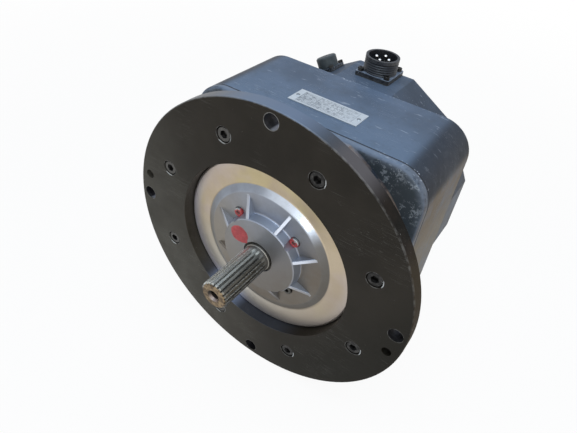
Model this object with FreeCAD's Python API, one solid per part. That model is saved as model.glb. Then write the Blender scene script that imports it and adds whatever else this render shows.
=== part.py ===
"""AC servo motor with a splined shaft and a round adapter ring, one solid per piece.

Millimetres. The origin is the centre of the ring's front face on the shaft axis. The shaft points to -Y,
the body runs to +Y, +Z is up, and the connectors stand on the upper side of the rear cover.
Angles round the shaft run from +X towards +Z.
"""
import FreeCAD
import Part
import math
import os

V = FreeCAD.Vector
ORIGIN = V(0, 0, 0)
BACKWARDS = V(0, 1, 0)
UP = V(0, 0, 1)

# Fits and clearances
seat_gap = 0.1
thread_gap = 0.15
bolt_gap = 0.5
running_gap = 0.3
air_gap = 0.7

# Adapter ring
ring_bore = 172.0
ring_thickness = 14.0
ring_front_chamfer = 0.8
ring_back_chamfer = 2.0
mount_pcd = 260.0
mount_margin = 10.0
mount_hole = 13.0
mount_count = 4
jack_hole = 8.5
jack_angle = 10.0
ring_screw_inset = 8.0
ring_screw_count = 8
ring_screw_size = 8.0
ring_screw_grip = 16.0
ring_screw_sink = 0.6
counterbore_gap = 0.5

# Front bracket casting
pilot_entry = 3.0
pilot_edge = 2.5
floor_diameter = 116.0
floor_step_diameter = 130.0
floor_rise = 3.3
floor_edge = 2.5
boss_diameter = 74.0
boss_height = 9.7
boss_edge = 0.8
boss_draft = 1.2
boss_root = 1.5
rib_count = 8
rib_width = 3.4
rib_foot_radius = 54.5
rib_top_drop = 0.6
rib_edge = 0.8
neck_spread = 16.0
neck_length = 30.0
flange_thickness = 7.0
flange_edge = 3.0
bracket_lip_wall = 4.0
web_thickness = 11.0
hub_wall = 17.0
bracket_lip = 3.0
bracket_screw_inset = 6.0
bracket_screw_count = 4
bracket_screw_size = 8.0
bracket_screw_sink = 1.0
bracket_screw_grip = 17.0

# Bearing retainer and its screws
retainer_thickness = 5.0
retainer_step = 3.0
retainer_screw_pcd = 81.0
retainer_screw_count = 4
retainer_screw_size = 5.0
retainer_screw_sink = 2.8
retainer_pocket = 9.2

# Bearings
front_bearing_bore = 30.0
front_bearing_outside = 62.0
front_bearing_width = 16.0
front_ball = 9.5
rear_bearing_bore = 25.0
rear_bearing_outside = 62.0
rear_bearing_width = 17.0
rear_ball = 9.5
ball_count = 8
race_wall_share = 0.42
cage_wall = 1.6
cage_rim = 1.5

# Shaft seal
seal_opening = 30.0
seal_diameter = 40.0
seal_width = 7.0
seal_cover = 2.0
seal_clear = 3.0

# Shaft
shaft_reach = 58.3
spline_diameter = 25.0
spline_teeth = 20
spline_depth = 1.7
spline_groove = 2.0
spline_groove_root = 1.2
spline_stop = 12.0
spline_runout = 6.0
tip_chamfer = 1.8
centre_hole = 8.5
centre_hole_depth = 20.0
centre_sink = 11.0
journal_diameter = 26.0
journal_reach = 1.0
shoulder_diameter = 37.0
collar_diameter = 46.0
collar_width = 5.0
rotor_seat = 38.0
rear_step = 34.0
stub_diameter = 16.0
stub_length = 18.5

# Stator frame
frame_width = 220.0
frame_corner = 30.0
frame_length = 90.0
frame_wall = 24.0
frame_edge = 0.6
recess_wall = 13.0
rear_recess_depth = 10.0
tapping_depth = 2.0

# Stator core and windings
core_offset = 13.0
core_rear_offset = 25.0
core_depth = 34.0
tooth_count = 12
tooth_shoe = 4.0
slot_opening = 3.0
yoke_width = 10.0
coil_wall = 6.0
coil_overhang = 8.0
coil_gap = 0.4
coil_space = 1.7

# Rotor
magnet_count = 8
magnet_thickness = 4.6
magnet_space = 3.0
end_plate = 4.0

# Rear bracket
rear_hub_wall = 8.0
rear_hub_front = 7.0
rear_hub_back = 8.0
rear_hub_lip = 2.5
rear_lip_opening = 50.0
rear_screw_inset = 5.5
rear_screw_count = 6
rear_screw_size = 5.0
rear_screw_grip = 12.0
lead_slot_width = 24.0
lead_slot_height = 20.0
lead_slot_inset = 21.0
washer_height = 3.0
washer_thickness = 1.2
washer_inner_radius = 26.0

# Encoder
encoder_base_diameter = 78.0
encoder_base_bore = 30.0
encoder_base_thickness = 5.0
encoder_screw_pcd = 70.0
encoder_screw_size = 4.0
encoder_screw_grip = 5.0
encoder_pillar = 6.0
encoder_pillar_height = 12.0
encoder_count = 3
encoder_hub_diameter = 24.0
encoder_hub_start = 2.0
encoder_disc_diameter = 54.0
encoder_disc_thickness = 1.2
encoder_disc_seat = 10.0
encoder_spigot = 20.0
encoder_spigot_length = 3.0
board_diameter = 78.0
board_thickness = 1.6
board_screw_size = 3.0
board_screw_grip = 6.0
sensor_inner_radius = 22.0
sensor_outer_radius = 33.0
sensor_width = 12.0
sensor_slot = 2.4
sensor_clear = 2.0
header_width = 10.0
header_height = 7.0
header_depth = 8.0

# Rear cover
cover_step = 1.5
cover_length = 53.0
cover_wall = 6.0
cover_edge = 3.0
cover_sides = 12
cover_boss = 14.0
cover_screw_inset = 6.0
cover_screw_count = 4
cover_screw_size = 5.0
cover_screw_grip = 12.0
cover_screw_sink = 0.8
cover_gasket = 0.8

# Connectors, heights measured from the cover's facet
connector_gasket = 1.0
power_place = 34.0
power_tilt = 0.0
power_shift = 0.0
power_flange = 35.0
power_flange_thickness = 3.2
power_thread = 31.75
power_height = 18.5
power_mouth = 26.8
power_tail = 28.0
power_tail_length = 14.0
power_shelf = 3.0
power_insert_top = 7.0
power_throat = 24.0
power_pin = 3.2
power_pin_pcd = 12.8
power_pin_count = 4
power_pin_top = 17.6
power_pin_tail = 3.0
power_screw_pitch = 27.0
power_screw_size = 3.0
power_screw_grip = 5.0
thread_pitch = 2.1
thread_depth = 0.9
thread_start = 0.8
thread_end = 2.9
signal_place = 34.0
signal_tilt = 30.0
signal_shift = 2.2
signal_flange = 23.0
signal_flange_thickness = 2.4
signal_thread = 15.9
signal_height = 11.4
signal_mouth = 12.8
signal_tail = 15.0
signal_tail_length = 10.0
signal_shelf = 2.0
signal_insert_top = 4.5
signal_throat = 11.0
signal_pin = 1.6
signal_pin_count = 6
signal_pin_pcd = 7.0
signal_pin_top = 8.0
signal_pin_tail = 2.0
signal_screw_pitch = 18.0
signal_screw_size = 2.5
signal_screw_grip = 5.0
flange_corner = 2.5
cap_diameter = 20.0
cap_top = 2.6
cap_edge = 1.2
cap_gap = 0.4
lead_diameter = 3.2
lead_bend = 8.0
lead_spread = 5.0
signal_lead_diameter = 5.0

# Nameplate
plate_length = 65.0
plate_width = 22.5
plate_thickness = 0.8
plate_centre = 30.0
rivet_diameter = 2.4
rivet_head = 3.8
rivet_head_height = 0.9
rivet_length = 5.0
rivet_inset = 3.2

# Socket head screw proportions
screw_head_share = 1.5
screw_head_extra = 1.0
screw_key_share = 0.78
screw_key_depth_share = 0.55
screw_edge_share = 0.08

# Sizes that follow the mounting circle and the frame
ring_diameter = mount_pcd + 2 * mount_margin
neck_diameter = frame_width + neck_spread
ring_screw_pcd = neck_diameter - 2 * ring_screw_inset
frame_bore = frame_width - 2 * frame_wall
core_bore = frame_bore - 2 * core_depth
core_length = frame_length - core_offset - core_rear_offset
coil_start = core_bore / 2 + tooth_shoe + coil_gap
tooth_width = 2 * (coil_start * math.tan(math.pi / tooth_count) - coil_wall - coil_gap - coil_space)
bracket_cavity = frame_bore - 2 * bracket_lip_wall
bracket_screw_pcd = frame_width - 2 * bracket_screw_inset
rear_recess = frame_width - 2 * recess_wall
rear_screw_pcd = rear_recess - 2 * rear_screw_inset
lead_slot_centre = rear_recess / 2 - lead_slot_inset
cover_screw_pcd = frame_width - 2 * cover_screw_inset

# Stations along the shaft
pilot_face = ring_thickness - pilot_entry
floor_face = pilot_face - floor_rise
boss_face = floor_face - boss_height
flange_front = ring_thickness + neck_length
frame_front = flange_front + flange_thickness
frame_back = frame_front + frame_length
cover_front = frame_back + cover_gasket
cover_back = cover_front + cover_length
web_back = pilot_face + web_thickness
seal_front = boss_face + seal_cover
seal_back = seal_front + seal_width
front_bearing_start = seal_back + seal_clear
front_bearing_end = front_bearing_start + front_bearing_width
core_front = frame_front + core_offset
core_back = core_front + core_length
recess_floor = frame_back - rear_recess_depth
rear_hub_start = recess_floor - rear_hub_front
rear_hub_end = frame_back + rear_hub_back
rear_bearing_end = rear_hub_end - rear_hub_lip - washer_height
rear_bearing_start = rear_bearing_end - rear_bearing_width
encoder_front = rear_hub_end
base_back = encoder_front + encoder_base_thickness
board_front = base_back + encoder_pillar_height
disc_front = encoder_front + encoder_disc_seat
cover_half = frame_width / 2 - cover_step


# Shared shapes
def cylinder(diameter, start, end):
    """A round bar on the shaft axis between two stations."""
    return Part.makeCylinder(diameter / 2, end - start, V(0, start, 0), BACKWARDS)


def tube(outside, inside, start, end):
    """A round bar on the shaft axis with a bore right through."""
    return cylinder(outside, start, end).cut(cylinder(inside, start, end))


def turned(points):
    """A closed outline of (radius, station) points turned round the shaft axis."""
    corners = [V(radius, station, 0) for radius, station in points]
    outline = Part.Face(Part.makePolygon(corners + corners[:1]))
    return outline.revolve(ORIGIN, BACKWARDS, 360)


def square_bar(width, corner, start, end):
    """A square bar along the shaft axis with rounded corners."""
    half = width / 2
    bar = Part.makeBox(width, end - start, width, V(-half, start, -half))
    long_edges = [edge for edge in bar.Edges if edge.tangentAt(edge.FirstParameter).isEqual(BACKWARDS, 0.01)
                  or edge.tangentAt(edge.FirstParameter).isEqual(BACKWARDS * -1, 0.01)]
    return bar.makeFillet(corner, long_edges)


def rims(shape, radius, station):
    """The round edges of a turned shape at one radius and station."""
    return [edge for edge in shape.Edges if isinstance(edge.Curve, Part.Circle)
            and abs(edge.Curve.Radius - radius) < 0.01 and abs(edge.Curve.Center.y - station) < 0.01]


def around(shape, angle):
    """A copy of a shape drawn at angle 0, turned to another angle round the shaft."""
    copy = shape.copy()
    copy.rotate(ORIGIN, BACKWARDS * -1, angle)
    return copy


def moved(shape, x, y, z):
    """A copy of a shape, shifted."""
    copy = shape.copy()
    copy.translate(V(x, y, z))
    return copy


def ring_of(shape, pcd, count, first_angle):
    """Copies of a shape drawn on the axis, set evenly on a circle round the shaft."""
    spaced = moved(shape, pcd / 2, 0, 0)
    return [around(spaced, first_angle + 360 / count * index) for index in range(count)]


def regular_bar(apothem, sides, start, end):
    """A bar along the shaft axis with a regular outline that has a flat on top."""
    step = math.pi / sides
    radius = apothem / math.cos(step)
    corners = [V(radius * math.cos((2 * side + 1) * step), start, radius * math.sin((2 * side + 1) * step))
               for side in range(sides + 1)]
    return Part.Face(Part.makePolygon(corners)).extrude(V(0, end - start, 0))


def screw_head_diameter(size):
    """Head diameter of a socket head screw."""
    return screw_head_share * size + screw_head_extra


def socket_screw(size, length):
    """A socket head screw along +Y, with the underside of its head at station 0."""
    head_diameter = screw_head_diameter(size)
    edge = screw_edge_share * size
    head = turned([(0, -size), (head_diameter / 2 - edge, -size), (head_diameter / 2, edge - size),
                   (head_diameter / 2, 0), (0, 0)])
    shank = turned([(0, 0), (size / 2, 0), (size / 2, length - edge), (size / 2 - edge, length), (0, length)])
    key = regular_bar(screw_key_share * size / 2, 6, -size, screw_key_depth_share * size - size)
    return head.fuse(shank).removeSplitter().cut(key)


def facing_forwards(screw, seat):
    """A screw turned to point forwards, with the underside of its head at a station."""
    copy = screw.copy()
    copy.rotate(ORIGIN, UP, 180)
    return moved(copy, 0, seat, 0)


def screw_room(size, length, head_room, shank_gap):
    """The space that a socket head screw takes: its shank's hole and a counterbore of a given depth."""
    shank = cylinder(size + 2 * shank_gap, 0, length)
    if head_room > 0:
        return shank.fuse(cylinder(screw_head_diameter(size) + 2 * counterbore_gap, -head_room, 0))
    return shank


# Adapter ring and its screws
ring_screw_seat = ring_screw_size + ring_screw_sink
ring_screw_length = ring_thickness - ring_screw_seat + ring_screw_grip
ring_screw_angle = 180 / ring_screw_count


def adapter_ring():
    """Turned plate with counterbored screw holes, clear mounting holes and two tapped jacking holes."""
    outer = ring_diameter / 2
    inner = ring_bore / 2
    plate = turned([(inner, 0), (outer - ring_front_chamfer, 0), (outer, ring_front_chamfer),
                    (outer, ring_thickness - ring_back_chamfer), (outer - ring_back_chamfer, ring_thickness),
                    (inner, ring_thickness)])
    room = screw_room(ring_screw_size, ring_screw_length, ring_screw_seat, bolt_gap)
    holes = ring_of(moved(room, 0, ring_screw_seat, 0), ring_screw_pcd, ring_screw_count, ring_screw_angle)
    holes += ring_of(cylinder(mount_hole, 0, ring_thickness), mount_pcd, mount_count, 0)
    holes += ring_of(cylinder(jack_hole, 0, ring_thickness), mount_pcd, 2, -jack_angle)
    return plate.cut(Part.makeCompound(holes))


def ring_screws():
    """Socket head screws sunk in the ring."""
    screw = moved(socket_screw(ring_screw_size, ring_screw_length), 0, ring_screw_seat, 0)
    return ring_of(screw, ring_screw_pcd, ring_screw_count, ring_screw_angle)


# Front bracket casting
retainer_screw_seat = floor_face + retainer_screw_sink
retainer_screw_angle = 180 / retainer_screw_count
hub_diameter = front_bearing_outside + 2 * hub_wall
bracket_screw_seat = ring_thickness + bracket_screw_size + bracket_screw_sink
bracket_screw_length = frame_front - bracket_screw_seat + bracket_screw_grip
bracket_screw_angle = 180 / bracket_screw_count


def boss_rib():
    """One gusset from the boss down to the floor, drawn at angle 0."""
    root = boss_diameter / 2 - boss_draft
    outline = [V(root, boss_face + rib_top_drop, 0), V(boss_diameter / 2, boss_face + rib_top_drop, 0),
               V(rib_foot_radius, floor_face, 0), V(rib_foot_radius, floor_face + floor_rise, 0),
               V(root, floor_face + floor_rise, 0)]
    rib = Part.Face(Part.makePolygon(outline + outline[:1])).extrude(UP * rib_width)
    slopes = [edge for edge in rib.Edges
              if edge.BoundBox.XLength > rib_width and edge.BoundBox.YLength > rib_width]
    return moved(rib.makeFillet(rib_edge, slopes), 0, 0, -rib_width / 2)


def front_bracket():
    """Square flange, round neck, machined pilot face and ribbed bearing boss in one casting."""
    pilot = ring_bore / 2 - seat_gap
    boss = boss_diameter / 2
    body = turned([(0, boss_face), (boss - boss_edge, boss_face), (boss, boss_face + boss_edge),
                   (boss + boss_draft, floor_face), (floor_diameter / 2, floor_face),
                   (floor_step_diameter / 2, pilot_face), (pilot, pilot_face), (pilot, ring_thickness),
                   (neck_diameter / 2, ring_thickness), (neck_diameter / 2, flange_front), (0, flange_front)])
    body = body.makeFillet(pilot_edge, rims(body, pilot, pilot_face))
    body = body.makeFillet(floor_edge, rims(body, floor_diameter / 2, floor_face))
    body = body.makeFillet(floor_edge, rims(body, floor_step_diameter / 2, pilot_face))
    body = body.makeFillet(boss_root, rims(body, boss + boss_draft, floor_face))
    body = body.common(square_bar(frame_width, frame_corner, boss_face, flange_front))
    flange = square_bar(frame_width, frame_corner, flange_front, frame_front)
    front_edges = [edge for edge in flange.Edges if edge.BoundBox.YMax < flange_front + seat_gap]
    body = body.fuse(flange.makeFillet(flange_edge, front_edges))
    body = body.fuse([around(boss_rib(), (index + 0.5) * 360 / rib_count) for index in range(rib_count)])
    lip = frame_bore / 2 - seat_gap
    body = body.fuse(cylinder(2 * lip, flange_front, frame_front + bracket_lip))
    cavity = cylinder(bracket_cavity, web_back, frame_front + bracket_lip)
    cavity = cavity.cut(cylinder(hub_diameter, web_back, front_bearing_end))
    bearing_room = cylinder(front_bearing_outside + 2 * seat_gap, front_bearing_start, front_bearing_end)
    seal_room = cylinder(seal_diameter + 2 * seat_gap, seal_front, front_bearing_start)
    opening = cylinder(seal_opening, boss_face, seal_front)
    retainer_room = screw_room(retainer_screw_size, front_bearing_end - retainer_screw_seat,
                               retainer_screw_sink, bolt_gap / 2)
    pocket = cylinder(retainer_pocket, boss_face, floor_face)
    holes = ring_of(moved(retainer_room, 0, retainer_screw_seat, 0), retainer_screw_pcd, retainer_screw_count,
                    retainer_screw_angle)
    holes += ring_of(pocket, retainer_screw_pcd, retainer_screw_count, retainer_screw_angle)
    tapped = cylinder(ring_screw_size + 2 * thread_gap, ring_thickness,
                      ring_thickness + ring_screw_grip + tapping_depth)
    holes += ring_of(tapped, ring_screw_pcd, ring_screw_count, ring_screw_angle)
    frame_room = screw_room(bracket_screw_size, frame_front - bracket_screw_seat,
                            bracket_screw_seat - ring_thickness, bolt_gap)
    holes += ring_of(moved(frame_room, 0, bracket_screw_seat, 0), bracket_screw_pcd, bracket_screw_count,
                     bracket_screw_angle)
    body = body.cut([cavity, bearing_room, seal_room, opening] + holes)
    return body.removeSplitter()


def bracket_screws():
    """Screws under the ring that hold the bracket to the stator frame."""
    screw = moved(socket_screw(bracket_screw_size, bracket_screw_length), 0, bracket_screw_seat, 0)
    return ring_of(screw, bracket_screw_pcd, bracket_screw_count, bracket_screw_angle)


# Shaft seal, bearing retainer and retainer screws
def shaft_seal():
    """Lip seal in the boss round the shaft's journal."""
    lip = journal_diameter / 2 + running_gap
    outside = seal_diameter / 2
    middle = (lip + seal_opening / 2) / 2
    return turned([(lip, seal_front), (middle, seal_front + seal_width / 4), (seal_opening / 2, seal_front),
                   (outside, seal_front), (outside, seal_back), (lip, seal_back)])


def bearing_retainer():
    """Plate behind the front bearing, tapped for the sealed screws."""
    bore = front_bearing_outside - 2 * retainer_step
    plate = tube(hub_diameter, bore, front_bearing_end, front_bearing_end + retainer_thickness)
    tapped = cylinder(retainer_screw_size + 2 * thread_gap, front_bearing_end,
                      front_bearing_end + retainer_thickness)
    return plate.cut(ring_of(tapped, retainer_screw_pcd, retainer_screw_count, retainer_screw_angle))


def retainer_screws():
    """Screws at the foot of the boss that hold the bearing retainer."""
    length = front_bearing_end + retainer_thickness - retainer_screw_seat
    screw = moved(socket_screw(retainer_screw_size, length), 0, retainer_screw_seat, 0)
    return ring_of(screw, retainer_screw_pcd, retainer_screw_count, retainer_screw_angle)


# Ball bearings
def bearing_pieces(bore, outside, width, ball, start):
    """Outer race, inner race, balls and cage of a deep groove ball bearing."""
    middle = start + width / 2
    pitch = (bore + outside) / 4
    wall = race_wall_share * (outside - bore) / 2 / 2
    groove = Part.makeTorus(pitch, ball / 2 + running_gap, V(0, middle, 0), BACKWARDS)
    outer = tube(outside, outside - 2 * wall - wall / 2, start, start + width).cut(groove)
    inner = tube(bore + 2 * wall + wall / 2, bore, start, start + width).cut(groove)
    balls = ring_of(Part.makeSphere(ball / 2, V(0, middle, 0)), 2 * pitch, ball_count, 0)
    pocket = Part.makeCylinder((ball + running_gap) / 2, 2 * cage_wall, V(-cage_wall, middle, 0), V(1, 0, 0))
    pockets = ring_of(pocket, 2 * pitch, ball_count, 0)
    reach = ball / 2 + cage_rim
    cage = tube(2 * pitch + cage_wall, 2 * pitch - cage_wall, middle - reach, middle + reach)
    return outer, inner, balls, cage.cut(pockets)


# Stator frame, core and windings
rear_screw_seat = frame_back
rear_screw_length = rear_recess_depth + rear_screw_grip
cover_screw_angle = 180 / cover_screw_count


def stator_frame():
    """Square housing with a bore for the core and a recess for the rear bracket."""
    frame = square_bar(frame_width, frame_corner, frame_front, frame_back)
    end_edges = [edge for edge in frame.Edges if edge.BoundBox.YLength < seat_gap]
    frame = frame.makeChamfer(frame_edge, end_edges)
    front_tap = cylinder(bracket_screw_size + 2 * thread_gap, frame_front,
                         frame_front + bracket_screw_grip + tapping_depth)
    rear_tap = cylinder(rear_screw_size + 2 * thread_gap, recess_floor - rear_screw_grip - tapping_depth,
                        recess_floor)
    cover_tap = cylinder(cover_screw_size + 2 * thread_gap, frame_back - cover_screw_grip - tapping_depth,
                         frame_back)
    holes = [cylinder(frame_bore, frame_front, frame_back), cylinder(rear_recess, recess_floor, frame_back)]
    holes += ring_of(front_tap, bracket_screw_pcd, bracket_screw_count, bracket_screw_angle)
    holes += ring_of(rear_tap, rear_screw_pcd, rear_screw_count, 0)
    holes += ring_of(cover_tap, cover_screw_pcd, cover_screw_count, cover_screw_angle)
    holes += [rivet_hole(side) for side in (-1, 1)]
    return frame.cut(holes)


def stator_core():
    """Laminated core: a yoke with straight teeth that end in broad shoes."""
    outside = frame_bore - 2 * seat_gap
    yoke_bore = outside - 2 * yoke_width
    core = tube(outside, yoke_bore, core_front, core_back)
    tooth = Part.makeBox((outside - core_bore) / 2 - yoke_width / 2, core_length, tooth_width,
                         V(core_bore / 2, core_front, -tooth_width / 2))
    teeth = [around(tooth, 360 / tooth_count * index) for index in range(tooth_count)]
    core = core.fuse(teeth)
    shoe_ring = tube(core_bore + 2 * tooth_shoe, core_bore, core_front, core_back)
    opening = Part.makeBox(tooth_shoe + core_bore / 2, core_length, slot_opening,
                           V(core_bore / 4, core_front, -slot_opening / 2))
    openings = [around(opening, 360 / tooth_count * (index + 0.5)) for index in range(tooth_count)]
    core = core.fuse(shoe_ring.cut(openings))
    return core.cut(cylinder(core_bore, core_front, core_back)).removeSplitter()


def stator_windings():
    """One wound coil round each tooth of the core."""
    hole_width = tooth_width + 2 * coil_gap
    width = hole_width + 2 * coil_wall
    yoke_inside = frame_bore / 2 - seat_gap - yoke_width
    outer = math.sqrt(yoke_inside ** 2 - width ** 2 / 4) - coil_gap
    length = core_length + 2 * (coil_gap + coil_overhang)
    start = core_front - coil_gap - coil_overhang
    coil = Part.makeBox(outer - coil_start, length, width, V(coil_start, start, -width / 2))
    radial_edges = [edge for edge in coil.Edges if edge.BoundBox.XLength > coil_wall]
    coil = coil.makeFillet(coil_wall, radial_edges)
    hole = Part.makeBox(outer - coil_start, core_length + 2 * coil_gap, hole_width,
                        V(coil_start, core_front - coil_gap, -hole_width / 2))
    coil = coil.cut(hole)
    return [around(coil, 360 / tooth_count * index) for index in range(tooth_count)]


# Shaft and rotor
rotor_outside = core_bore - 2 * air_gap
rotor_core_diameter = rotor_outside - 2 * magnet_thickness


def spline_groove_cut():
    """One tapered groove between two spline teeth, with its run-out, drawn at angle 0."""
    outer = spline_diameter / 2
    root = outer - spline_depth
    tip = -shaft_reach
    stop = -spline_stop
    flank = (spline_groove - spline_groove_root) / 2
    floor = [V(root, tip, -spline_groove_root / 2), V(root, stop, -spline_groove_root / 2),
             V(root, stop, spline_groove_root / 2), V(root, tip, spline_groove_root / 2)]
    rim_width = spline_groove + 2 * flank
    reach = outer + spline_depth
    rim = [V(reach, tip, -rim_width / 2), V(reach, stop + 2 * spline_runout, -rim_width / 2),
           V(reach, stop + 2 * spline_runout, rim_width / 2), V(reach, tip, rim_width / 2)]
    return Part.makeLoft([Part.makePolygon(floor + floor[:1]), Part.makePolygon(rim + rim[:1])], True, True)


def shaft():
    """One turned shaft: spline, seal journal, bearing seats, rotor seat and encoder stub."""
    tip = -shaft_reach
    spline = spline_diameter / 2
    journal = journal_diameter / 2
    collar_front = core_front - end_plate - collar_width
    rotor_front = core_front - end_plate
    rotor_back = core_back + end_plate
    stub_end = rear_bearing_end + stub_length
    front_seat = front_bearing_bore / 2 - seat_gap
    rear_seat = rear_bearing_bore / 2 - seat_gap
    shoulder = shoulder_diameter / 2
    collar = collar_diameter / 2
    body = turned([(0, tip), (spline - tip_chamfer, tip), (spline, tip + tip_chamfer),
                   (spline, boss_face - journal_reach - journal + spline),
                   (journal, boss_face - journal_reach), (journal, front_bearing_start),
                   (front_seat, front_bearing_start), (front_seat, front_bearing_end),
                   (shoulder, front_bearing_end), (shoulder, collar_front),
                   (collar, collar_front), (collar, rotor_front),
                   (rotor_seat / 2, rotor_front), (rotor_seat / 2, rotor_back),
                   (rear_step / 2, rotor_back), (rear_step / 2, rear_bearing_start),
                   (rear_seat, rear_bearing_start), (rear_seat, rear_bearing_end),
                   (stub_diameter / 2, rear_bearing_end), (stub_diameter / 2, stub_end), (0, stub_end)])
    grooves = [around(spline_groove_cut(), 360 / spline_teeth * index) for index in range(spline_teeth)]
    centre = cylinder(centre_hole, tip, tip + centre_hole_depth)
    sink_depth = (centre_sink - centre_hole) / 2 * math.sqrt(3)
    sink_end = tip + sink_depth
    sink = turned([(0, tip), (centre_sink / 2, tip), (centre_hole / 2, sink_end), (0, sink_end)])
    return body.cut(grooves + [centre, sink])


def rotor_core():
    """Laminated rotor body on the shaft's seat."""
    return tube(rotor_core_diameter, rotor_seat + 2 * seat_gap, core_front, core_back)


def rotor_end_plates():
    """Balance plates at both ends of the rotor body."""
    bore = rotor_seat + 2 * seat_gap
    outside = rotor_core_diameter - 2 * running_gap
    return [tube(outside, bore, start, start + end_plate) for start in (core_front - end_plate, core_back)]


def rotor_magnets():
    """Arc magnets bonded round the rotor body."""
    band = tube(rotor_outside, rotor_core_diameter + 2 * seat_gap, core_front, core_back)
    gap = Part.makeBox(rotor_outside, core_length, magnet_space, V(0, core_front, -magnet_space / 2))
    gaps = [around(gap, 360 / magnet_count * index) for index in range(magnet_count)]
    return band.cut(gaps).Solids


# Rear bracket, its screws and the preload washer
def rear_bracket():
    """End shield in the frame's recess that carries the rear bearing."""
    hub = rear_bearing_outside + 2 * rear_hub_wall
    body = cylinder(rear_recess - 2 * seat_gap, recess_floor, frame_back)
    body = body.fuse(cylinder(hub, rear_hub_start, rear_hub_end))
    bearing_room = cylinder(rear_bearing_outside + 2 * seat_gap, rear_hub_start, rear_hub_end - rear_hub_lip)
    opening = cylinder(rear_lip_opening, rear_hub_end - rear_hub_lip, rear_hub_end)
    slot = Part.makeBox(lead_slot_width, rear_recess_depth, lead_slot_height,
                        V(-lead_slot_width / 2, recess_floor, lead_slot_centre - lead_slot_height / 2))
    clear = cylinder(rear_screw_size + 2 * bolt_gap, recess_floor, frame_back)
    tapped = cylinder(encoder_screw_size + 2 * thread_gap, rear_hub_end - encoder_screw_grip - tapping_depth,
                      rear_hub_end)
    holes = ring_of(clear, rear_screw_pcd, rear_screw_count, 0)
    holes += ring_of(tapped, encoder_screw_pcd, encoder_count, 0)
    return body.cut([bearing_room, opening, slot] + holes).removeSplitter()


def rear_bracket_screws():
    """Screws that hold the rear bracket in the frame."""
    screw = facing_forwards(socket_screw(rear_screw_size, rear_screw_length), rear_screw_seat)
    return ring_of(screw, rear_screw_pcd, rear_screw_count, 0)


def preload_washer():
    """Conical spring washer between the rear bearing's outer race and the hub's lip."""
    outer = rear_bearing_outside / 2 - running_gap
    start = rear_bearing_end
    end = start + washer_height
    return turned([(washer_inner_radius, start), (outer, end - washer_thickness), (outer, end),
                   (washer_inner_radius, start + washer_thickness)])


# Encoder
def encoder_base():
    """Round base on the rear hub with pillars for the board."""
    base = tube(encoder_base_diameter, encoder_base_bore, encoder_front, base_back)
    pillars = ring_of(cylinder(encoder_pillar, base_back, board_front), encoder_screw_pcd, encoder_count,
                      180 / encoder_count)
    base = base.fuse(pillars)
    clear = cylinder(encoder_screw_size + 2 * bolt_gap, encoder_front, base_back)
    tapped = cylinder(board_screw_size + 2 * thread_gap, board_front - board_screw_grip - tapping_depth,
                      board_front)
    holes = ring_of(clear, encoder_screw_pcd, encoder_count, 0)
    holes += ring_of(tapped, encoder_screw_pcd, encoder_count, 180 / encoder_count)
    return base.cut(holes)


def encoder_screws():
    """Screws that hold the encoder's base on the hub."""
    length = encoder_base_thickness + encoder_screw_grip
    return ring_of(facing_forwards(socket_screw(encoder_screw_size, length), base_back), encoder_screw_pcd,
                   encoder_count, 0)


def encoder_hub():
    """Clamp hub on the shaft's rear stub."""
    bore = stub_diameter + 2 * seat_gap
    body = tube(encoder_hub_diameter, bore, encoder_front + encoder_hub_start, disc_front)
    spigot = tube(encoder_spigot, bore, disc_front, disc_front + encoder_spigot_length)
    return body.fuse(spigot).removeSplitter()


def encoder_disc():
    """Glass code disc on the hub."""
    bore = encoder_spigot + 2 * seat_gap
    return tube(encoder_disc_diameter, bore, disc_front, disc_front + encoder_disc_thickness)


def encoder_sensor():
    """Fork under the board that reads the disc's rim."""
    front = base_back + sensor_clear
    radial = sensor_outer_radius - sensor_inner_radius
    block = Part.makeBox(radial, board_front - front, sensor_width,
                         V(sensor_inner_radius, front, -sensor_width / 2))
    middle = disc_front + encoder_disc_thickness / 2
    reach = encoder_disc_diameter / 2 + 2 * running_gap - sensor_inner_radius
    slot = Part.makeBox(reach, sensor_slot, sensor_width,
                        V(sensor_inner_radius, middle - sensor_slot / 2, -sensor_width / 2))
    return around(block.cut(slot), -90)


def encoder_board():
    """Round circuit board on the pillars."""
    board = cylinder(board_diameter, board_front, board_front + board_thickness)
    clear = cylinder(board_screw_size + 2 * bolt_gap, board_front, board_front + board_thickness)
    return board.cut(ring_of(clear, encoder_screw_pcd, encoder_count, 180 / encoder_count))


def board_screws():
    """Screws that hold the board on its pillars."""
    screw = facing_forwards(socket_screw(board_screw_size, board_screw_grip + board_thickness),
                        board_front + board_thickness)
    return ring_of(screw, encoder_screw_pcd, encoder_count, 180 / encoder_count)


# Rear cover, its gasket and screws
cover_screw_room = cover_screw_size + cover_screw_sink
cover_screw_seat = cover_back - cover_screw_room


def cover_bosses(start, end):
    """Columns inside the cover for its screws."""
    return ring_of(cylinder(cover_boss, start, end), cover_screw_pcd, cover_screw_count, cover_screw_angle)


def cover_screw_holes(start, end):
    """Clear holes for the cover's screws."""
    return ring_of(cylinder(cover_screw_size + 2 * bolt_gap, start, end), cover_screw_pcd, cover_screw_count,
                   cover_screw_angle)


def rear_cover():
    """Cast cover with flat facets that carry the connectors."""
    outer = regular_bar(cover_half, cover_sides, cover_front, cover_back)
    kept_edges = [edge for edge in outer.Edges if edge.BoundBox.YMax > cover_front + seat_gap]
    outer = outer.makeFillet(cover_edge, kept_edges)
    cavity = regular_bar(cover_half - cover_wall, cover_sides, cover_front, cover_back - cover_wall)
    cavity = cavity.cut(cover_bosses(cover_front, cover_back - cover_wall))
    head_room = screw_head_diameter(cover_screw_size) + 2 * counterbore_gap
    heads = cylinder(head_room, cover_screw_seat, cover_back)
    holes = cover_screw_holes(cover_front, cover_back)
    holes += ring_of(heads, cover_screw_pcd, cover_screw_count, cover_screw_angle)
    holes += flange_cuts(POWER) + flange_cuts(SIGNAL)
    return outer.cut([cavity] + holes)


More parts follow.
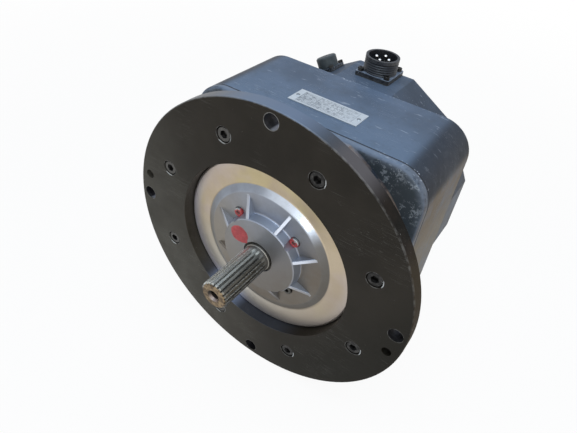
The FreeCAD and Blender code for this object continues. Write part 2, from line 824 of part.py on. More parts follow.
def cover_gasket_ring():
    """Flat gasket between the stator frame and the cover."""
    sheet = regular_bar(cover_half, cover_sides, frame_back, cover_front)
    window = regular_bar(cover_half - cover_wall, cover_sides, frame_back, cover_front)
    window = window.cut(cover_bosses(frame_back, cover_front))
    return sheet.cut([window] + cover_screw_holes(frame_back, cover_front))


def cover_screws():
    """Long screws from the cover's back into the frame."""
    length = cover_screw_seat - frame_back + cover_screw_grip
    return ring_of(facing_forwards(socket_screw(cover_screw_size, length), cover_screw_seat), cover_screw_pcd,
                   cover_screw_count, cover_screw_angle)


# Connectors
def facet_place(tilt, shift, place):
    """Where a connector stands: the facet's outward direction becomes its own upward direction."""
    turn = FreeCAD.Rotation(BACKWARDS, -tilt)
    spot = turn.multVec(V(shift, 0, cover_half)) + V(0, cover_front + place, 0)
    return FreeCAD.Placement(spot, turn)


def stood(shape, place):
    """A shape drawn upright at the origin, set on its facet."""
    copy = shape.copy()
    copy.Placement = place.multiply(copy.Placement)
    return copy


def upright(diameter, low, high):
    """A round bar along a connector's own axis."""
    return Part.makeCylinder(diameter / 2, high - low, V(0, 0, low), UP)


def square_plate(width, low, high):
    """A square plate with rounded corners across a connector's axis."""
    plate = Part.makeBox(width, width, high - low, V(-width / 2, -width / 2, low))
    corners = [edge for edge in plate.Edges
               if edge.BoundBox.XLength < seat_gap and edge.BoundBox.YLength < seat_gap]
    return plate.makeFillet(flange_corner, corners)


def at_corners(shape, pitch):
    """Copies of a shape at the four corners of a square."""
    return [moved(shape, x * pitch / 2, y * pitch / 2, 0) for x in (-1, 1) for y in (-1, 1)]


POWER = {"place": facet_place(power_tilt, power_shift, power_place), "flange": power_flange,
         "thickness": power_flange_thickness, "tail": power_tail, "tail_length": power_tail_length,
         "pitch": power_screw_pitch, "screw": power_screw_size, "grip": power_screw_grip}
SIGNAL = {"place": facet_place(signal_tilt, signal_shift, signal_place), "flange": signal_flange,
          "thickness": signal_flange_thickness, "tail": signal_tail, "tail_length": signal_tail_length,
          "pitch": signal_screw_pitch, "screw": signal_screw_size, "grip": signal_screw_grip}


def flange_cuts(connector):
    """The opening and the tapped holes that a connector needs in the cover."""
    opening = upright(connector["tail"] + 2 * bolt_gap, -connector["tail_length"] - bolt_gap, 0)
    tapped = upright(connector["screw"] + 2 * thread_gap, -cover_wall, 0)
    return [stood(cut, connector["place"]) for cut in [opening] + at_corners(tapped, connector["pitch"])]


def flange_gasket(connector):
    """Flat gasket under a connector's flange."""
    sheet = square_plate(connector["flange"], 0, connector_gasket)
    opening = upright(connector["tail"] + 2 * bolt_gap, 0, connector_gasket)
    clear = upright(connector["screw"] + 2 * bolt_gap, 0, connector_gasket)
    return stood(sheet.cut([opening] + at_corners(clear, connector["pitch"])), connector["place"])


def flange_screws(connector):
    """Four screws through a connector's flange into the cover."""
    top = connector_gasket + connector["thickness"]
    screw = socket_screw(connector["screw"], top + connector["grip"])
    screw.rotate(ORIGIN, V(1, 0, 0), -90)
    screws = at_corners(moved(screw, 0, 0, top), connector["pitch"])
    return [stood(copy, connector["place"]) for copy in screws]


def flange_plate(connector):
    """The square flange of a connector with its screw holes."""
    top = connector_gasket + connector["thickness"]
    plate = square_plate(connector["flange"], connector_gasket, top)
    clear = upright(connector["screw"] + 2 * bolt_gap, connector_gasket, top)
    return plate.cut(at_corners(clear, connector["pitch"]))


def thread_grooves(diameter, low, high):
    """Ring-shaped grooves of a coarse thread along a connector's axis."""
    outer = diameter / 2
    grooves = []
    for index in range(int((high - low) / thread_pitch)):
        base = low + index * thread_pitch
        corners = [V(outer, 0, base), V(outer - thread_depth, 0, base + thread_pitch / 2),
                   V(outer, 0, base + thread_pitch)]
        grooves.append(Part.Face(Part.makePolygon(corners + corners[:1])).revolve(ORIGIN, UP, 360))
    return grooves


def power_shell():
    """Flanged receptacle body with a coarse outer thread."""
    top = connector_gasket + power_flange_thickness
    body = flange_plate(POWER).fuse([upright(power_thread, connector_gasket, power_height),
                                     upright(power_tail, -power_tail_length, connector_gasket)])
    bores = [upright(power_mouth, power_shelf, power_height),
             upright(power_throat, -power_tail_length, power_shelf)]
    body = body.cut(bores).removeSplitter()
    grooves = thread_grooves(power_thread, top + thread_start, power_height - thread_end)
    return stood(body.cut(grooves), POWER["place"])


def pin_ring(shape, pcd, count):
    """Copies of a pin or its hole on a connector's pin circle."""
    copies = []
    for index in range(count):
        copy = moved(shape, pcd / 2, 0, 0)
        copy.rotate(ORIGIN, UP, 360 / count * index)
        copies.append(copy)
    return copies


def power_insert():
    """Moulded insert that holds the pins."""
    body = upright(power_mouth - 2 * seat_gap, power_shelf, power_insert_top)
    body = body.fuse(upright(power_throat - 2 * seat_gap, -power_tail_length, power_shelf)).removeSplitter()
    hole = upright(power_pin + 2 * seat_gap, -power_tail_length, power_insert_top)
    return stood(body.cut(pin_ring(hole, power_pin_pcd, power_pin_count)), POWER["place"])


def contact_pin(diameter, low, high):
    """A round pin with a domed tip."""
    shank = upright(diameter, low, high - diameter / 2)
    return shank.fuse(Part.makeSphere(diameter / 2, V(0, 0, high - diameter / 2))).removeSplitter()


def power_pins():
    """Four pins in the power connector."""
    pin = contact_pin(power_pin, -power_tail_length - power_pin_tail, power_pin_top)
    return [stood(copy, POWER["place"]) for copy in pin_ring(pin, power_pin_pcd, power_pin_count)]


def power_leads():
    """Winding leads that run back through the rear bracket and up to the power pins."""
    pad = POWER["place"].Base
    high = pad.z - power_tail_length - power_pin_tail
    start = core_back + coil_gap + coil_overhang
    lowest = lead_slot_centre - lead_slot_height / 2 + lead_diameter
    leads = []
    for index in range(power_pin_count):
        angle = 2 * math.pi / power_pin_count * index
        x = power_pin_pcd / 2 * math.cos(angle)
        rise = pad.y + power_pin_pcd / 2 * math.sin(angle)
        low = lowest + lead_spread / 2 * (1 - math.sin(angle))
        turn = V(x, rise - lead_bend, low + lead_bend)
        mid = turn + V(0, math.sin(math.pi / 4), -math.cos(math.pi / 4)) * lead_bend
        run = Part.LineSegment(V(x, start, low), V(x, rise - lead_bend, low)).toShape()
        bend = Part.Arc(V(x, rise - lead_bend, low), mid, V(x, rise, low + lead_bend)).toShape()
        climb = Part.LineSegment(V(x, rise, low + lead_bend), V(x, rise, high)).toShape()
        section = Part.Wire(Part.makeCircle(lead_diameter / 2, V(x, start, low), BACKWARDS))
        leads.append(Part.Wire([run, bend, climb]).makePipeShell([section], True, False))
    return leads


def signal_shell():
    """Small flanged receptacle body under the cap."""
    body = flange_plate(SIGNAL).fuse([upright(signal_thread, connector_gasket, signal_height),
                                      upright(signal_tail, -signal_tail_length, connector_gasket)])
    bores = [upright(signal_mouth, signal_shelf, signal_height),
             upright(signal_throat, -signal_tail_length, signal_shelf)]
    return stood(body.cut(bores).removeSplitter(), SIGNAL["place"])


def signal_insert():
    """Moulded insert of the small connector."""
    body = upright(signal_mouth - 2 * seat_gap, signal_shelf, signal_insert_top)
    lower = upright(signal_throat - 2 * seat_gap, -signal_tail_length, signal_shelf)
    body = body.fuse(lower).removeSplitter()
    hole = upright(signal_pin + 2 * seat_gap, -signal_tail_length, signal_insert_top)
    return stood(body.cut(pin_ring(hole, signal_pin_pcd, signal_pin_count)), SIGNAL["place"])


def signal_pins():
    """Thin pins of the small connector."""
    pin = contact_pin(signal_pin, -signal_tail_length - signal_pin_tail, signal_pin_top)
    return [stood(copy, SIGNAL["place"]) for copy in pin_ring(pin, signal_pin_pcd, signal_pin_count)]


def signal_cap():
    """Screw cap over the small connector."""
    low = connector_gasket + signal_flange_thickness + running_gap
    high = signal_height + running_gap + cap_top
    cap = upright(cap_diameter, low, high)
    cap = cap.makeChamfer(cap_edge, [edge for edge in cap.Edges if edge.BoundBox.ZMin > high - seat_gap])
    room = upright(signal_thread + 2 * cap_gap, low, high - cap_top)
    return stood(cap.cut(room), SIGNAL["place"])


lead_low = -(cover_half - board_diameter / 2)


def signal_lead():
    """Screened lead from the small connector straight down to the board's header."""
    top = -signal_tail_length - signal_pin_tail
    return stood(upright(signal_lead_diameter, lead_low, top), SIGNAL["place"])


def board_header():
    """Socket on the board's back for the signal lead."""
    front = board_front + board_thickness
    place = SIGNAL["place"]
    local_front = front - place.Base.y
    block = Part.makeBox(header_width, header_depth + place.Base.y - front, header_height,
                         V(-header_width / 2, local_front, lead_low - header_height))
    return stood(block, place)


# Nameplate and rivets
plate_station = frame_front + plate_centre
rivet_spread = plate_length / 2 - rivet_inset


def nameplate():
    """Bare metal plate on top of the stator frame."""
    plate = Part.makeBox(plate_length, plate_width, plate_thickness,
                         V(-plate_length / 2, plate_station - plate_width / 2, frame_width / 2))
    return plate.cut([rivet_hole(side) for side in (-1, 1)])


def rivet_hole(side):
    """The hole for one nameplate rivet."""
    hole = upright(rivet_diameter + 2 * seat_gap, -rivet_length, plate_thickness)
    return moved(hole, side * rivet_spread, plate_station, frame_width / 2)


def nameplate_rivets():
    """Two domed rivets through the plate."""
    dome_radius = (rivet_head ** 2 / 4 + rivet_head_height ** 2) / (2 * rivet_head_height)
    dome = Part.makeSphere(dome_radius, V(0, 0, plate_thickness + rivet_head_height - dome_radius))
    dome = dome.common(upright(rivet_head, plate_thickness, plate_thickness + rivet_head_height))
    rivet = dome.fuse(upright(rivet_diameter, -rivet_length, plate_thickness)).removeSplitter()
    return [moved(rivet, side * rivet_spread, plate_station, frame_width / 2) for side in (-1, 1)]


# All pieces
front_outer, front_inner, front_balls, front_cage = bearing_pieces(
    front_bearing_bore, front_bearing_outside, front_bearing_width, front_ball, front_bearing_start)
rear_outer, rear_inner, rear_balls, rear_cage = bearing_pieces(
    rear_bearing_bore, rear_bearing_outside, rear_bearing_width, rear_ball, rear_bearing_start)

PIECES = {
    "adapter_ring": adapter_ring(), "ring_screws": ring_screws(),
    "front_bracket": front_bracket(), "bracket_screws": bracket_screws(),
    "shaft_seal": shaft_seal(), "bearing_retainer": bearing_retainer(), "retainer_screws": retainer_screws(),
    "front_bearing_outer": front_outer, "front_bearing_inner": front_inner,
    "front_bearing_balls": front_balls, "front_bearing_cage": front_cage,
    "stator_frame": stator_frame(), "stator_core": stator_core(), "stator_windings": stator_windings(),
    "shaft": shaft(), "rotor_core": rotor_core(), "rotor_end_plates": rotor_end_plates(),
    "rotor_magnets": rotor_magnets(),
    "rear_bracket": rear_bracket(), "rear_bracket_screws": rear_bracket_screws(),
    "preload_washer": preload_washer(),
    "rear_bearing_outer": rear_outer, "rear_bearing_inner": rear_inner,
    "rear_bearing_balls": rear_balls, "rear_bearing_cage": rear_cage,
    "encoder_base": encoder_base(), "encoder_screws": encoder_screws(), "encoder_hub": encoder_hub(),
    "encoder_disc": encoder_disc(), "encoder_sensor": encoder_sensor(), "encoder_board": encoder_board(),
    "board_screws": board_screws(), "board_header": board_header(),
    "rear_cover": rear_cover(), "cover_gasket": cover_gasket_ring(), "cover_screws": cover_screws(),
    "power_shell": power_shell(), "power_gasket": flange_gasket(POWER), "power_insert": power_insert(),
    "power_pins": power_pins(), "power_screws": flange_screws(POWER), "power_leads": power_leads(),
    "signal_shell": signal_shell(), "signal_gasket": flange_gasket(SIGNAL), "signal_insert": signal_insert(),
    "signal_pins": signal_pins(), "signal_screws": flange_screws(SIGNAL), "signal_lead": signal_lead(),
    "signal_cap": signal_cap(),
    "nameplate": nameplate(), "nameplate_rivets": nameplate_rivets(),
}

os.makedirs("parts", exist_ok=True)
for name, piece in PIECES.items():
    shape = Part.makeCompound(piece) if isinstance(piece, list) else piece
    shape.exportStep(f"parts/{name}.step")
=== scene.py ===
"""AC servo motor with a splined shaft and a round adapter ring: its finishes, its camera and its light."""
import math
import bmesh
import bpy
import numpy as np
from mathutils import Matrix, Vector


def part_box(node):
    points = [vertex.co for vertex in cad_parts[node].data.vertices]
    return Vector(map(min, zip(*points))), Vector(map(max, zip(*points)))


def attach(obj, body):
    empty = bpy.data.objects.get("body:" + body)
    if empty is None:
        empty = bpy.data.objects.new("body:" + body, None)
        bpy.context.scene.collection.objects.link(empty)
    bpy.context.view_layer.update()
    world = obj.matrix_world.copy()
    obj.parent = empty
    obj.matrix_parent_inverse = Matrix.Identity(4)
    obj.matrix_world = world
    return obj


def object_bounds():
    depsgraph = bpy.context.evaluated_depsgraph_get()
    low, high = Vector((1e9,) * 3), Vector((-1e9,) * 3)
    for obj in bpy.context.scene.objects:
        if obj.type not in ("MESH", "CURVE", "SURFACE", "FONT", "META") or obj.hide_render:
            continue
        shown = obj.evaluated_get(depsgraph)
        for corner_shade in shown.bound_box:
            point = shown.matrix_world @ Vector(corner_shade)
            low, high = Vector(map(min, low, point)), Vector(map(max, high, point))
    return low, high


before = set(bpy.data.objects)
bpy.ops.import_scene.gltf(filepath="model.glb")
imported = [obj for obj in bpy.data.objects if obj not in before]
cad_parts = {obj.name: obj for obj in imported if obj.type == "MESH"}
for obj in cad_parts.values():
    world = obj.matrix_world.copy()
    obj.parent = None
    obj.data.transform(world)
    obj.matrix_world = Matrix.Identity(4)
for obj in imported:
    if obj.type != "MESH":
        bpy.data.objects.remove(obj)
cad_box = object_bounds()


# Stator frame: the square aluminium housing that everything is bolted to, sprayed in a satin blue-grey enamel.
# The enamel is chipped to bare metal along both end edges and carries fine scratches from handling.
class Tone:
    """A value that varies over a surface: a socket that takes part in sums as a number does. Each step of a sum
    adds one Math node."""

    def __init__(self, tree, socket=None):
        self.tree = tree
        self.socket = socket

    def node(self, kind, settings, sockets, out=0):
        """Adds one node: its settings come first, then each socket gets a number, a colour or another tone."""
        made = self.tree.nodes.new(kind)
        for name, value in settings.items():
            setattr(made, name, value)
        for name, value in sockets.items():
            if isinstance(value, Tone):
                self.tree.links.new(value.socket, made.inputs[name])
            else:
                made.inputs[name].default_value = value
        return Tone(self.tree, made.outputs[out])

    def reckon(self, operation, *terms):
        """One Math node on the given terms."""
        return self.node("ShaderNodeMath", {"operation": operation}, dict(enumerate(terms)))

    def __add__(self, other):
        return self.reckon("ADD", self, other)

    __radd__ = __add__

    def __sub__(self, other):
        return self.reckon("SUBTRACT", self, other)

    def __rsub__(self, other):
        return self.reckon("SUBTRACT", other, self)

    def __mul__(self, other):
        return self.reckon("MULTIPLY", self, other)

    __rmul__ = __mul__

    def __truediv__(self, other):
        return self.reckon("DIVIDE", self, other)

    def __pow__(self, other):
        return self.reckon("POWER", self, other)

    def __abs__(self):
        return self.reckon("ABSOLUTE", self)

    def of(self, operation):
        """A sum of one term, such as the fraction, sine or cosine of this value."""
        return self.reckon(operation, self)

    def either(self, other):
        """The larger of two values, which joins two masks."""
        return self.reckon("MAXIMUM", self, other)

    def lesser(self, other):
        """The smaller of two values."""
        return self.reckon("MINIMUM", self, other)

    def rise(self, low, high):
        """0 below low, 1 above high, and a smooth step between them. With low above high the step falls."""
        return self.node("ShaderNodeMapRange", {"interpolation_type": "SMOOTHSTEP"},
                         {"Value": self, "From Min": low, "From Max": high})

    def blend(self, low, high):
        """The colour low where this mask is 0, high where it is 1. Each is a tone, or its red, green and blue."""
        low, high = [colour if isinstance(colour, Tone) else (*colour, 1) for colour in (low, high)]
        return self.node("ShaderNodeMix", {"data_type": "RGBA"}, {0: self, 6: low, 7: high}, 2)


def new_finish(name):
    """A material, the place on its surface in object coordinates, and its surface shader."""
    material = bpy.data.materials.new(name)
    material.use_nodes = True
    place = Tone(material.node_tree).node("ShaderNodeTexCoord", {}, {}, "Object")
    return material, place, material.node_tree.nodes["Principled BSDF"]


def parts_of(vector):
    """The three components of a vector tone."""
    split = vector.node("ShaderNodeSeparateXYZ", {}, {0: vector})
    return [Tone(vector.tree, socket) for socket in split.socket.node.outputs]


def facing_of(place):
    """The three components of the direction that the surface faces."""
    return parts_of(place.node("ShaderNodeTexCoord", {}, {}, "Normal"))


def cloud(place, scale, detail=2.0, roughness=0.55, offset=0.0):
    """Noise between 0 and 1, with its grain set by scale in turns per metre."""
    moved = place.node("ShaderNodeVectorMath", {"operation": "ADD"}, {0: place, 1: (offset, offset, offset)})
    return place.node("ShaderNodeTexNoise", {}, {"Vector": moved, "Scale": scale, "Detail": detail,
                                                 "Roughness": roughness})


def stretched(place, turn, scale):
    """The place scaled along its three directions and then turned, so that noise read there is drawn out."""
    return place.node("ShaderNodeMapping", {}, {"Vector": place, "Rotation": turn, "Scale": scale})


def scratched(place, turn, along, across, width):
    """Long thin lines: where noise that is drawn out sideways passes close to its middle value. The turn gives
    each set of lines its own noise."""
    drawn_out = stretched(place, turn, (along, across, across))
    level = place.node("ShaderNodeTexNoise", {}, {"Vector": drawn_out, "Scale": 1.0, "Detail": 1.0})
    return abs(level - 0.5).rise(width, width * 0.3)


def bumped(height, depth):
    """A normal that tilts as a height of the given depth in metres would."""
    return height.node("ShaderNodeBump", {}, {"Strength": 1.0, "Distance": depth, "Height": height})


def coat_surface(shader, **values):
    """Sets the shader's sockets: tones are linked, numbers and colours are written on the socket itself."""
    for key, value in values.items():
        socket = shader.inputs[{"Specular": "Specular IOR Level"}.get(key, key.replace("_", " "))]
        if isinstance(value, Tone):
            shader.id_data.links.new(value.socket, socket)
        else:
            socket.default_value = value


def dress(material, *names):
    """Gives CAD nodes their finish."""
    for name in names:
        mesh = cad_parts[name].data
        mesh.materials.clear()
        mesh.materials.append(material)


def enamel(place, shade, edges, painted_light_strength):
    """Colour, roughness, height and chips of worn enamel. Bare metal shows where coarse noise passes a limit near
    an edge, thin scratches cross patches of the surface, painted shade darkens the long rounded corners, painted
    top light makes the upward faces towards the front paler, and a patchy brownish painted warm reflection lies on
    the upright sides.
    The last argument sets the strength of the painted shade and the painted warm reflection."""

    def paint(red, green, blue):
        """A colour of the enamel, darkened or lightened to this piece's shade."""
        return red * shade, green * shade, blue * shade

    _, y, z = parts_of(place)
    x_facing, _, z_facing = facing_of(place)
    colour = cloud(place, 16, 4).rise(0.35, 0.65).blend(paint(0.073, 0.101, 0.145), paint(0.106, 0.147, 0.213))
    # Painted top light: upward faces towards the front get a paler copy of the enamel.
    painted_top_light = z_facing.rise(0.80, 0.97) * y.rise(0.125, 0.045)
    colour = (painted_top_light * 0.85).blend(colour, paint(0.124, 0.176, 0.252))
    # Painted warm reflection: a patchy brownish tone on the faces that look sideways, paler and yellower low down.
    warm_sheen = abs(x_facing).rise(0.40, 1.0) * (0.34 + 0.58 * cloud(place, 24, 6, 0.70, 3).rise(0.34, 0.62))
    warm_sheen_colour = z.rise(0.070, 0.010).blend(paint(0.148, 0.112, 0.068), paint(0.200, 0.166, 0.112))
    colour = (warm_sheen * painted_light_strength).blend(colour, warm_sheen_colour)
    # Painted shade: the long rounded corners between upward and sideways faces are darkened.
    corner_shade = abs(x_facing * z_facing).rise(0.02, 0.36) * (0.10 + 0.82 * painted_light_strength * painted_light_strength)
    colour = corner_shade.blend(colour, paint(0.010, 0.015, 0.024))
    smears = cloud(place, 95, 5, 0.68, 14).rise(0.50, 0.66) * 0.20
    colour = smears.blend(colour, paint(0.060, 0.072, 0.088))

    marks = scratched(place, (0.3, 0.2, 0.7), 30, 330, 0.007) * cloud(place, 38, 2, 0.5, 1).rise(0.54, 0.64)
    crossed = scratched(place, (0.1, 0.5, -0.5), 40, 520, 0.006) * cloud(place, 30, 2, 0.5, 9).rise(0.55, 0.64)
    marks = marks.either(crossed)
    dots = cloud(place, 620, 3, 0.6, 7).rise(0.66, 0.70) * cloud(place, 45, 2, 0.5, 5).rise(0.44, 0.58)
    crosswise = stretched(place, (0, 0, 0), (1, 4, 2))
    rubs = cloud(crosswise, 55, 4, 0.62, 31).rise(0.615, 0.71) * (0.14 + 0.34 * z_facing.rise(0.3, 0.9))
    light_wear = (marks * 0.34).either(dots * 0.34).either(rubs) * (1 - 0.7 * corner_shade)
    colour = light_wear.blend(colour, (0.40, 0.44, 0.50))
    chips = edges * cloud(place, 330, 4, 0.62, 2).rise(0.58, 0.62) * cloud(place, 28, 2, 0.5, 6).rise(0.42, 0.62)
    colour = chips.blend(colour, (0.50, 0.54, 0.60))

    roughness = 0.42 + 0.16 * cloud(place, 120, 3, 0.6, 4) - 0.08 * chips + warm_sheen * (0.25 * painted_light_strength)
    height = cloud(place, 850, 2, 0.5) * 0.35 + (1 - chips) * 0.8 - marks * 0.4
    return colour, roughness, height, chips


frame_low, frame_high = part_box("stator_frame")
end_wear = 0.0042
side_wear = 0.0035
seam_width = 0.0010
seam_dirt = (0.010, 0.011, 0.013)
frame_enamel, place, shader = new_finish("frame_enamel")
x, y, z = parts_of(place)
to_end = abs(y - frame_low.y).lesser(abs(y - frame_high.y))
to_side = frame_high.x - abs(x).either(abs(z))
end_face = abs(facing_of(place)[1]).rise(0.6, 0.9)
edge_zone = (to_end.rise(end_wear, 0.0004) * (1 - end_face)).either(to_side.rise(side_wear, 0.0006) * end_face)
colour, roughness, height, chips = enamel(place, 1.0, edge_zone, 1.0)
seam = abs(y - frame_low.y).rise(seam_width, 0.6 * seam_width)
colour = (seam * 0.85).blend(colour, seam_dirt)
coat_surface(shader, Base_Color=colour, Roughness=roughness, Metallic=chips * 0.8, Specular=0.26,
             Normal=bumped(height, 0.00012))
dress(frame_enamel, "stator_frame")


# Stator core and windings: thin punched steel sheets stacked in the frame's bore, with one coil of enamelled
# copper wire wound round each tooth. The stack shows as fine lines along the shaft, the coils as laid turns.
sheets_per_metre = 2000
lamination, place, shader = new_finish("lamination")
sheets = abs((parts_of(place)[1] * sheets_per_metre).of("FRACT") - 0.5)
sheet_tone = cloud(place, 90, 4).rise(0.3, 0.7) * 0.6 + sheets * 0.5
coat_surface(shader, Base_Color=sheet_tone.blend((0.13, 0.13, 0.14), (0.33, 0.33, 0.34)), Metallic=0.85,
             Roughness=0.4 + 0.2 * cloud(place, 400, 2), Normal=bumped(sheets.rise(0.35, 0.5), 0.00008))
dress(lamination, "stator_core", "rotor_core")


def slant(across, up):
    """The straight distance that two legs at a right angle span: the root of the sum of their squares."""
    return (across * across + up * up) ** 0.5


wire_ripple = 5500  # radians per metre
copper_wire, place, shader = new_finish("copper_wire")
x, _, z = parts_of(place)
turns = (slant(x, z) * wire_ripple).of("SINE")
colour = cloud(place, 120, 3).rise(0.3, 0.7).blend((0.30, 0.10, 0.035), (0.52, 0.21, 0.08))
coat_surface(shader, Base_Color=colour, Metallic=0.9, Roughness=0.34,
             Coat_Weight=0.5 + 0.3 * cloud(place, 60, 2), Normal=bumped(turns, 0.00025))
dress(copper_wire, "stator_windings")


# Shaft and rotor: one turned and hardened steel shaft with a cut spline, a stack of rotor sheets pressed on it,
# steel balance plates at both ends, and arc magnets bonded round the stack.
def tool_lines(along, scale, detail):
    """The fine lines that a lathe or a grinder leaves: noise of one value, such as the length along the shaft."""
    return along.node("ShaderNodeTexNoise", {"noise_dimensions": "1D"},
                      {"W": along, "Scale": scale, "Detail": detail})


shaft_tip = cad_box[0].y
spline_radius = 0.0125
spline_foot = -0.0040
hole_mouth = 0.0055
shaft_steel, place, shader = new_finish("shaft_steel")
x, y, z = parts_of(place)
x_facing, _, z_facing = facing_of(place)
off_axis = slant(x, z)
splined = y.rise(spline_foot, spline_foot - 0.0050)
grooves = off_axis.rise(spline_radius - 0.0006, spline_radius - 0.0014) * splined
# Painted highlight: the flanks of the spline's teeth are made near white, weaker on the lower right.
flank_highlight = abs((z_facing * x - x_facing * z) / off_axis).rise(0.30, 0.65) * splined
# Painted light on the upper left of the spline and painted shade on its lower right.
lit_upper_left = ((z - x) / off_axis).rise(0.2, 1.1)
shaded_lower_right = ((x - z) / off_axis).rise(0.1, 1.2)
tops = cloud(place, 70, 4, 0.6).rise(0.35, 0.65).blend((0.10, 0.094, 0.078), (0.22, 0.210, 0.182))
tops = (lit_upper_left * splined).blend(tops, (0.52, 0.52, 0.47))
tops = (shaded_lower_right * splined * 0.85).blend(tops, (0.050, 0.046, 0.036))
colour = splined.blend((0.28, 0.265, 0.235), tops)
# Painted shade in the roots of the spline's grooves, lighter on the lit upper left.
colour = (grooves * 0.85).blend(colour, lit_upper_left.blend((0.022, 0.020, 0.017), (0.040, 0.038, 0.032)))
colour = (flank_highlight * (0.9 - 0.45 * shaded_lower_right)).blend(colour, (0.94, 0.93, 0.89))
browned = cloud(place, 330, 4, 0.65, 2).rise(0.38, 0.62)
end_face = y.rise(shaft_tip + 0.0013, shaft_tip + 0.0003)
colour = end_face.blend(colour, browned.blend((0.106, 0.073, 0.044), (0.292, 0.214, 0.124)))
# Inside the centre hole: painted shade, with a painted highlight on the wall that faces up.
bored = off_axis.rise(hole_mouth + 0.0002, hole_mouth - 0.0001) * y.rise(shaft_tip + 0.0083, shaft_tip + 0.0008)
colour = bored.blend(colour, z_facing.rise(0.1, 0.8).blend((0.06, 0.055, 0.050), (0.33, 0.26, 0.22)))
lathe = tool_lines(y, 2600.0, 2.0)
coat_surface(shader, Base_Color=colour, Metallic=0.92,
             Roughness=0.30 + 0.22 * cloud(place, 260, 3) + 0.06 * lathe - 0.17 * flank_highlight,
             Normal=bumped(lathe * 0.5 + cloud(place, 1500, 2) * 0.5, 0.00004))
dress(shaft_steel, "shaft")

magnet_grey, place, shader = new_finish("magnet_grey")
colour = cloud(place, 500, 4).blend((0.07, 0.07, 0.075), (0.16, 0.16, 0.17))
coat_surface(shader, Base_Color=colour, Metallic=0.6, Roughness=0.5 + 0.15 * cloud(place, 200, 2),
             Normal=bumped(cloud(place, 1200, 3), 0.00005))
dress(magnet_grey, "rotor_magnets")

plain_steel, place, shader = new_finish("plain_steel")
x, _, z = parts_of(place)
turned = tool_lines(slant(x, z), 2200.0, 2.0)
colour = cloud(place, 80, 4).rise(0.3, 0.7).blend((0.30, 0.29, 0.28), (0.46, 0.45, 0.43))
coat_surface(shader, Base_Color=colour, Metallic=0.95, Roughness=0.30 + 0.2 * turned,
             Normal=bumped(turned, 0.00003))
dress(plain_steel, "rotor_end_plates", "bearing_retainer", "preload_washer", "encoder_hub")

# Ball bearings: ground and polished races and balls of bearing steel at both ends of the shaft, with the balls
# spaced by a moulded cage. They are pressed on the shaft and into the brackets.
bearing_steel, place, shader = new_finish("bearing_steel")
ground = tool_lines(parts_of(place)[1], 5000.0, 1.0)
colour = cloud(place, 60, 3).blend((0.50, 0.50, 0.51), (0.62, 0.62, 0.63))
coat_surface(shader, Base_Color=colour, Metallic=1.0, Roughness=0.12 + 0.1 * ground,
             Normal=bumped(ground, 0.00001))
dress(bearing_steel, "front_bearing_outer", "front_bearing_inner", "front_bearing_balls",
      "rear_bearing_outer", "rear_bearing_inner", "rear_bearing_balls")

cage_plastic, place, shader = new_finish("cage_plastic")
colour = cloud(place, 150, 3).blend((0.50, 0.44, 0.30), (0.60, 0.54, 0.38))
coat_surface(shader, Base_Color=colour, Roughness=0.45 + 0.15 * cloud(place, 500, 2),
             Normal=bumped(cloud(place, 900, 2), 0.00004))
dress(cage_plastic, "front_bearing_cage", "rear_bearing_cage")


# Front bracket: one aluminium casting that carries the front bearing in a ribbed boss. The face inside the ring
# is turned bright, the floor, ribs and boss are left as cast, and the neck and square flange wear the enamel.
def angle_round(x, z):
    """The angle round the shaft, in radians from the motor's right-hand side."""
    return x.reckon("ARCTAN2", z, x)


ring_bore = 0.0860
step_radius = 0.0650
floor_radius = 0.0580
boss_radius = 0.0370
rib_half = 0.0017
rib_sector = math.pi / 4
flange_front = 0.0440
frame_corner = 0.030
bracket_alloy, place, shader = new_finish("bracket_alloy")
x, y, z = parts_of(place)
x_facing, y_facing, _ = facing_of(place)
off_axis = slant(x, z)
outside = off_axis.rise(ring_bore + 0.0002, ring_bore + 0.0006)
faced = off_axis.rise(step_radius - 0.0015, step_radius - 0.0005)
step = off_axis.rise(floor_radius - 0.0015, floor_radius)

# The turned face: stained in patches, paler and greyer on the lower half by a painted reflection, darker at the
# lower right by painted shade, and bright along its outer edge on the left by a painted bluish highlight.
rings = tool_lines(off_axis, 1900.0, 3.0)
stain = cloud(place, 34, 5, 0.6).rise(0.3, 0.7) * 0.8 + rings * 0.2
faced_colour = stain.blend((0.43, 0.345, 0.240), (0.54, 0.450, 0.325))
yellowed = cloud(place, 30, 3, 0.5, 21).rise(0.50, 0.64)
faced_colour = (yellowed * 0.5).blend(faced_colour, (0.53, 0.450, 0.230))
pinkish = cloud(place, 26, 3, 0.5, 25).rise(0.48, 0.62)
faced_colour = (pinkish * 0.5).blend(faced_colour, (0.50, 0.420, 0.385))
# Painted reflection on the lower half and painted shade at the lower right.
lower_half_reflection = (x * -0.25 - z * 0.97).rise(0.0, 0.07)
faced_colour = (lower_half_reflection * 0.95).blend(faced_colour, (0.560, 0.530, 0.470))
lower_right_shade = (x * 0.75 - z * 0.66).rise(0.020, 0.085)
faced_colour = (lower_right_shade * 0.80).blend(faced_colour, (0.370, 0.312, 0.250))
# Painted bluish highlight along the outer edge, mostly on the left and below the top.
left_side = x.rise(0.03, -0.06) * 0.82 + 0.18
below_top = 0.20 + 0.80 * z.rise(0.055, 0.010)
left_edge_highlight = off_axis.rise(ring_bore - 0.0130, ring_bore - 0.0005) * left_side * below_top
faced_colour = left_edge_highlight.blend(faced_colour, (0.81, 0.775, 0.83))

# The cast floor and the step round it, with painted light: paler and bluish towards the upper right, painted shade
# towards the lower right, and a painted highlight on the top of the step.
lit_side = (x * 0.7 + z * 0.7).rise(-0.045, 0.045)
cast_colour = lit_side.blend((0.26, 0.235, 0.200), (0.30, 0.325, 0.38))
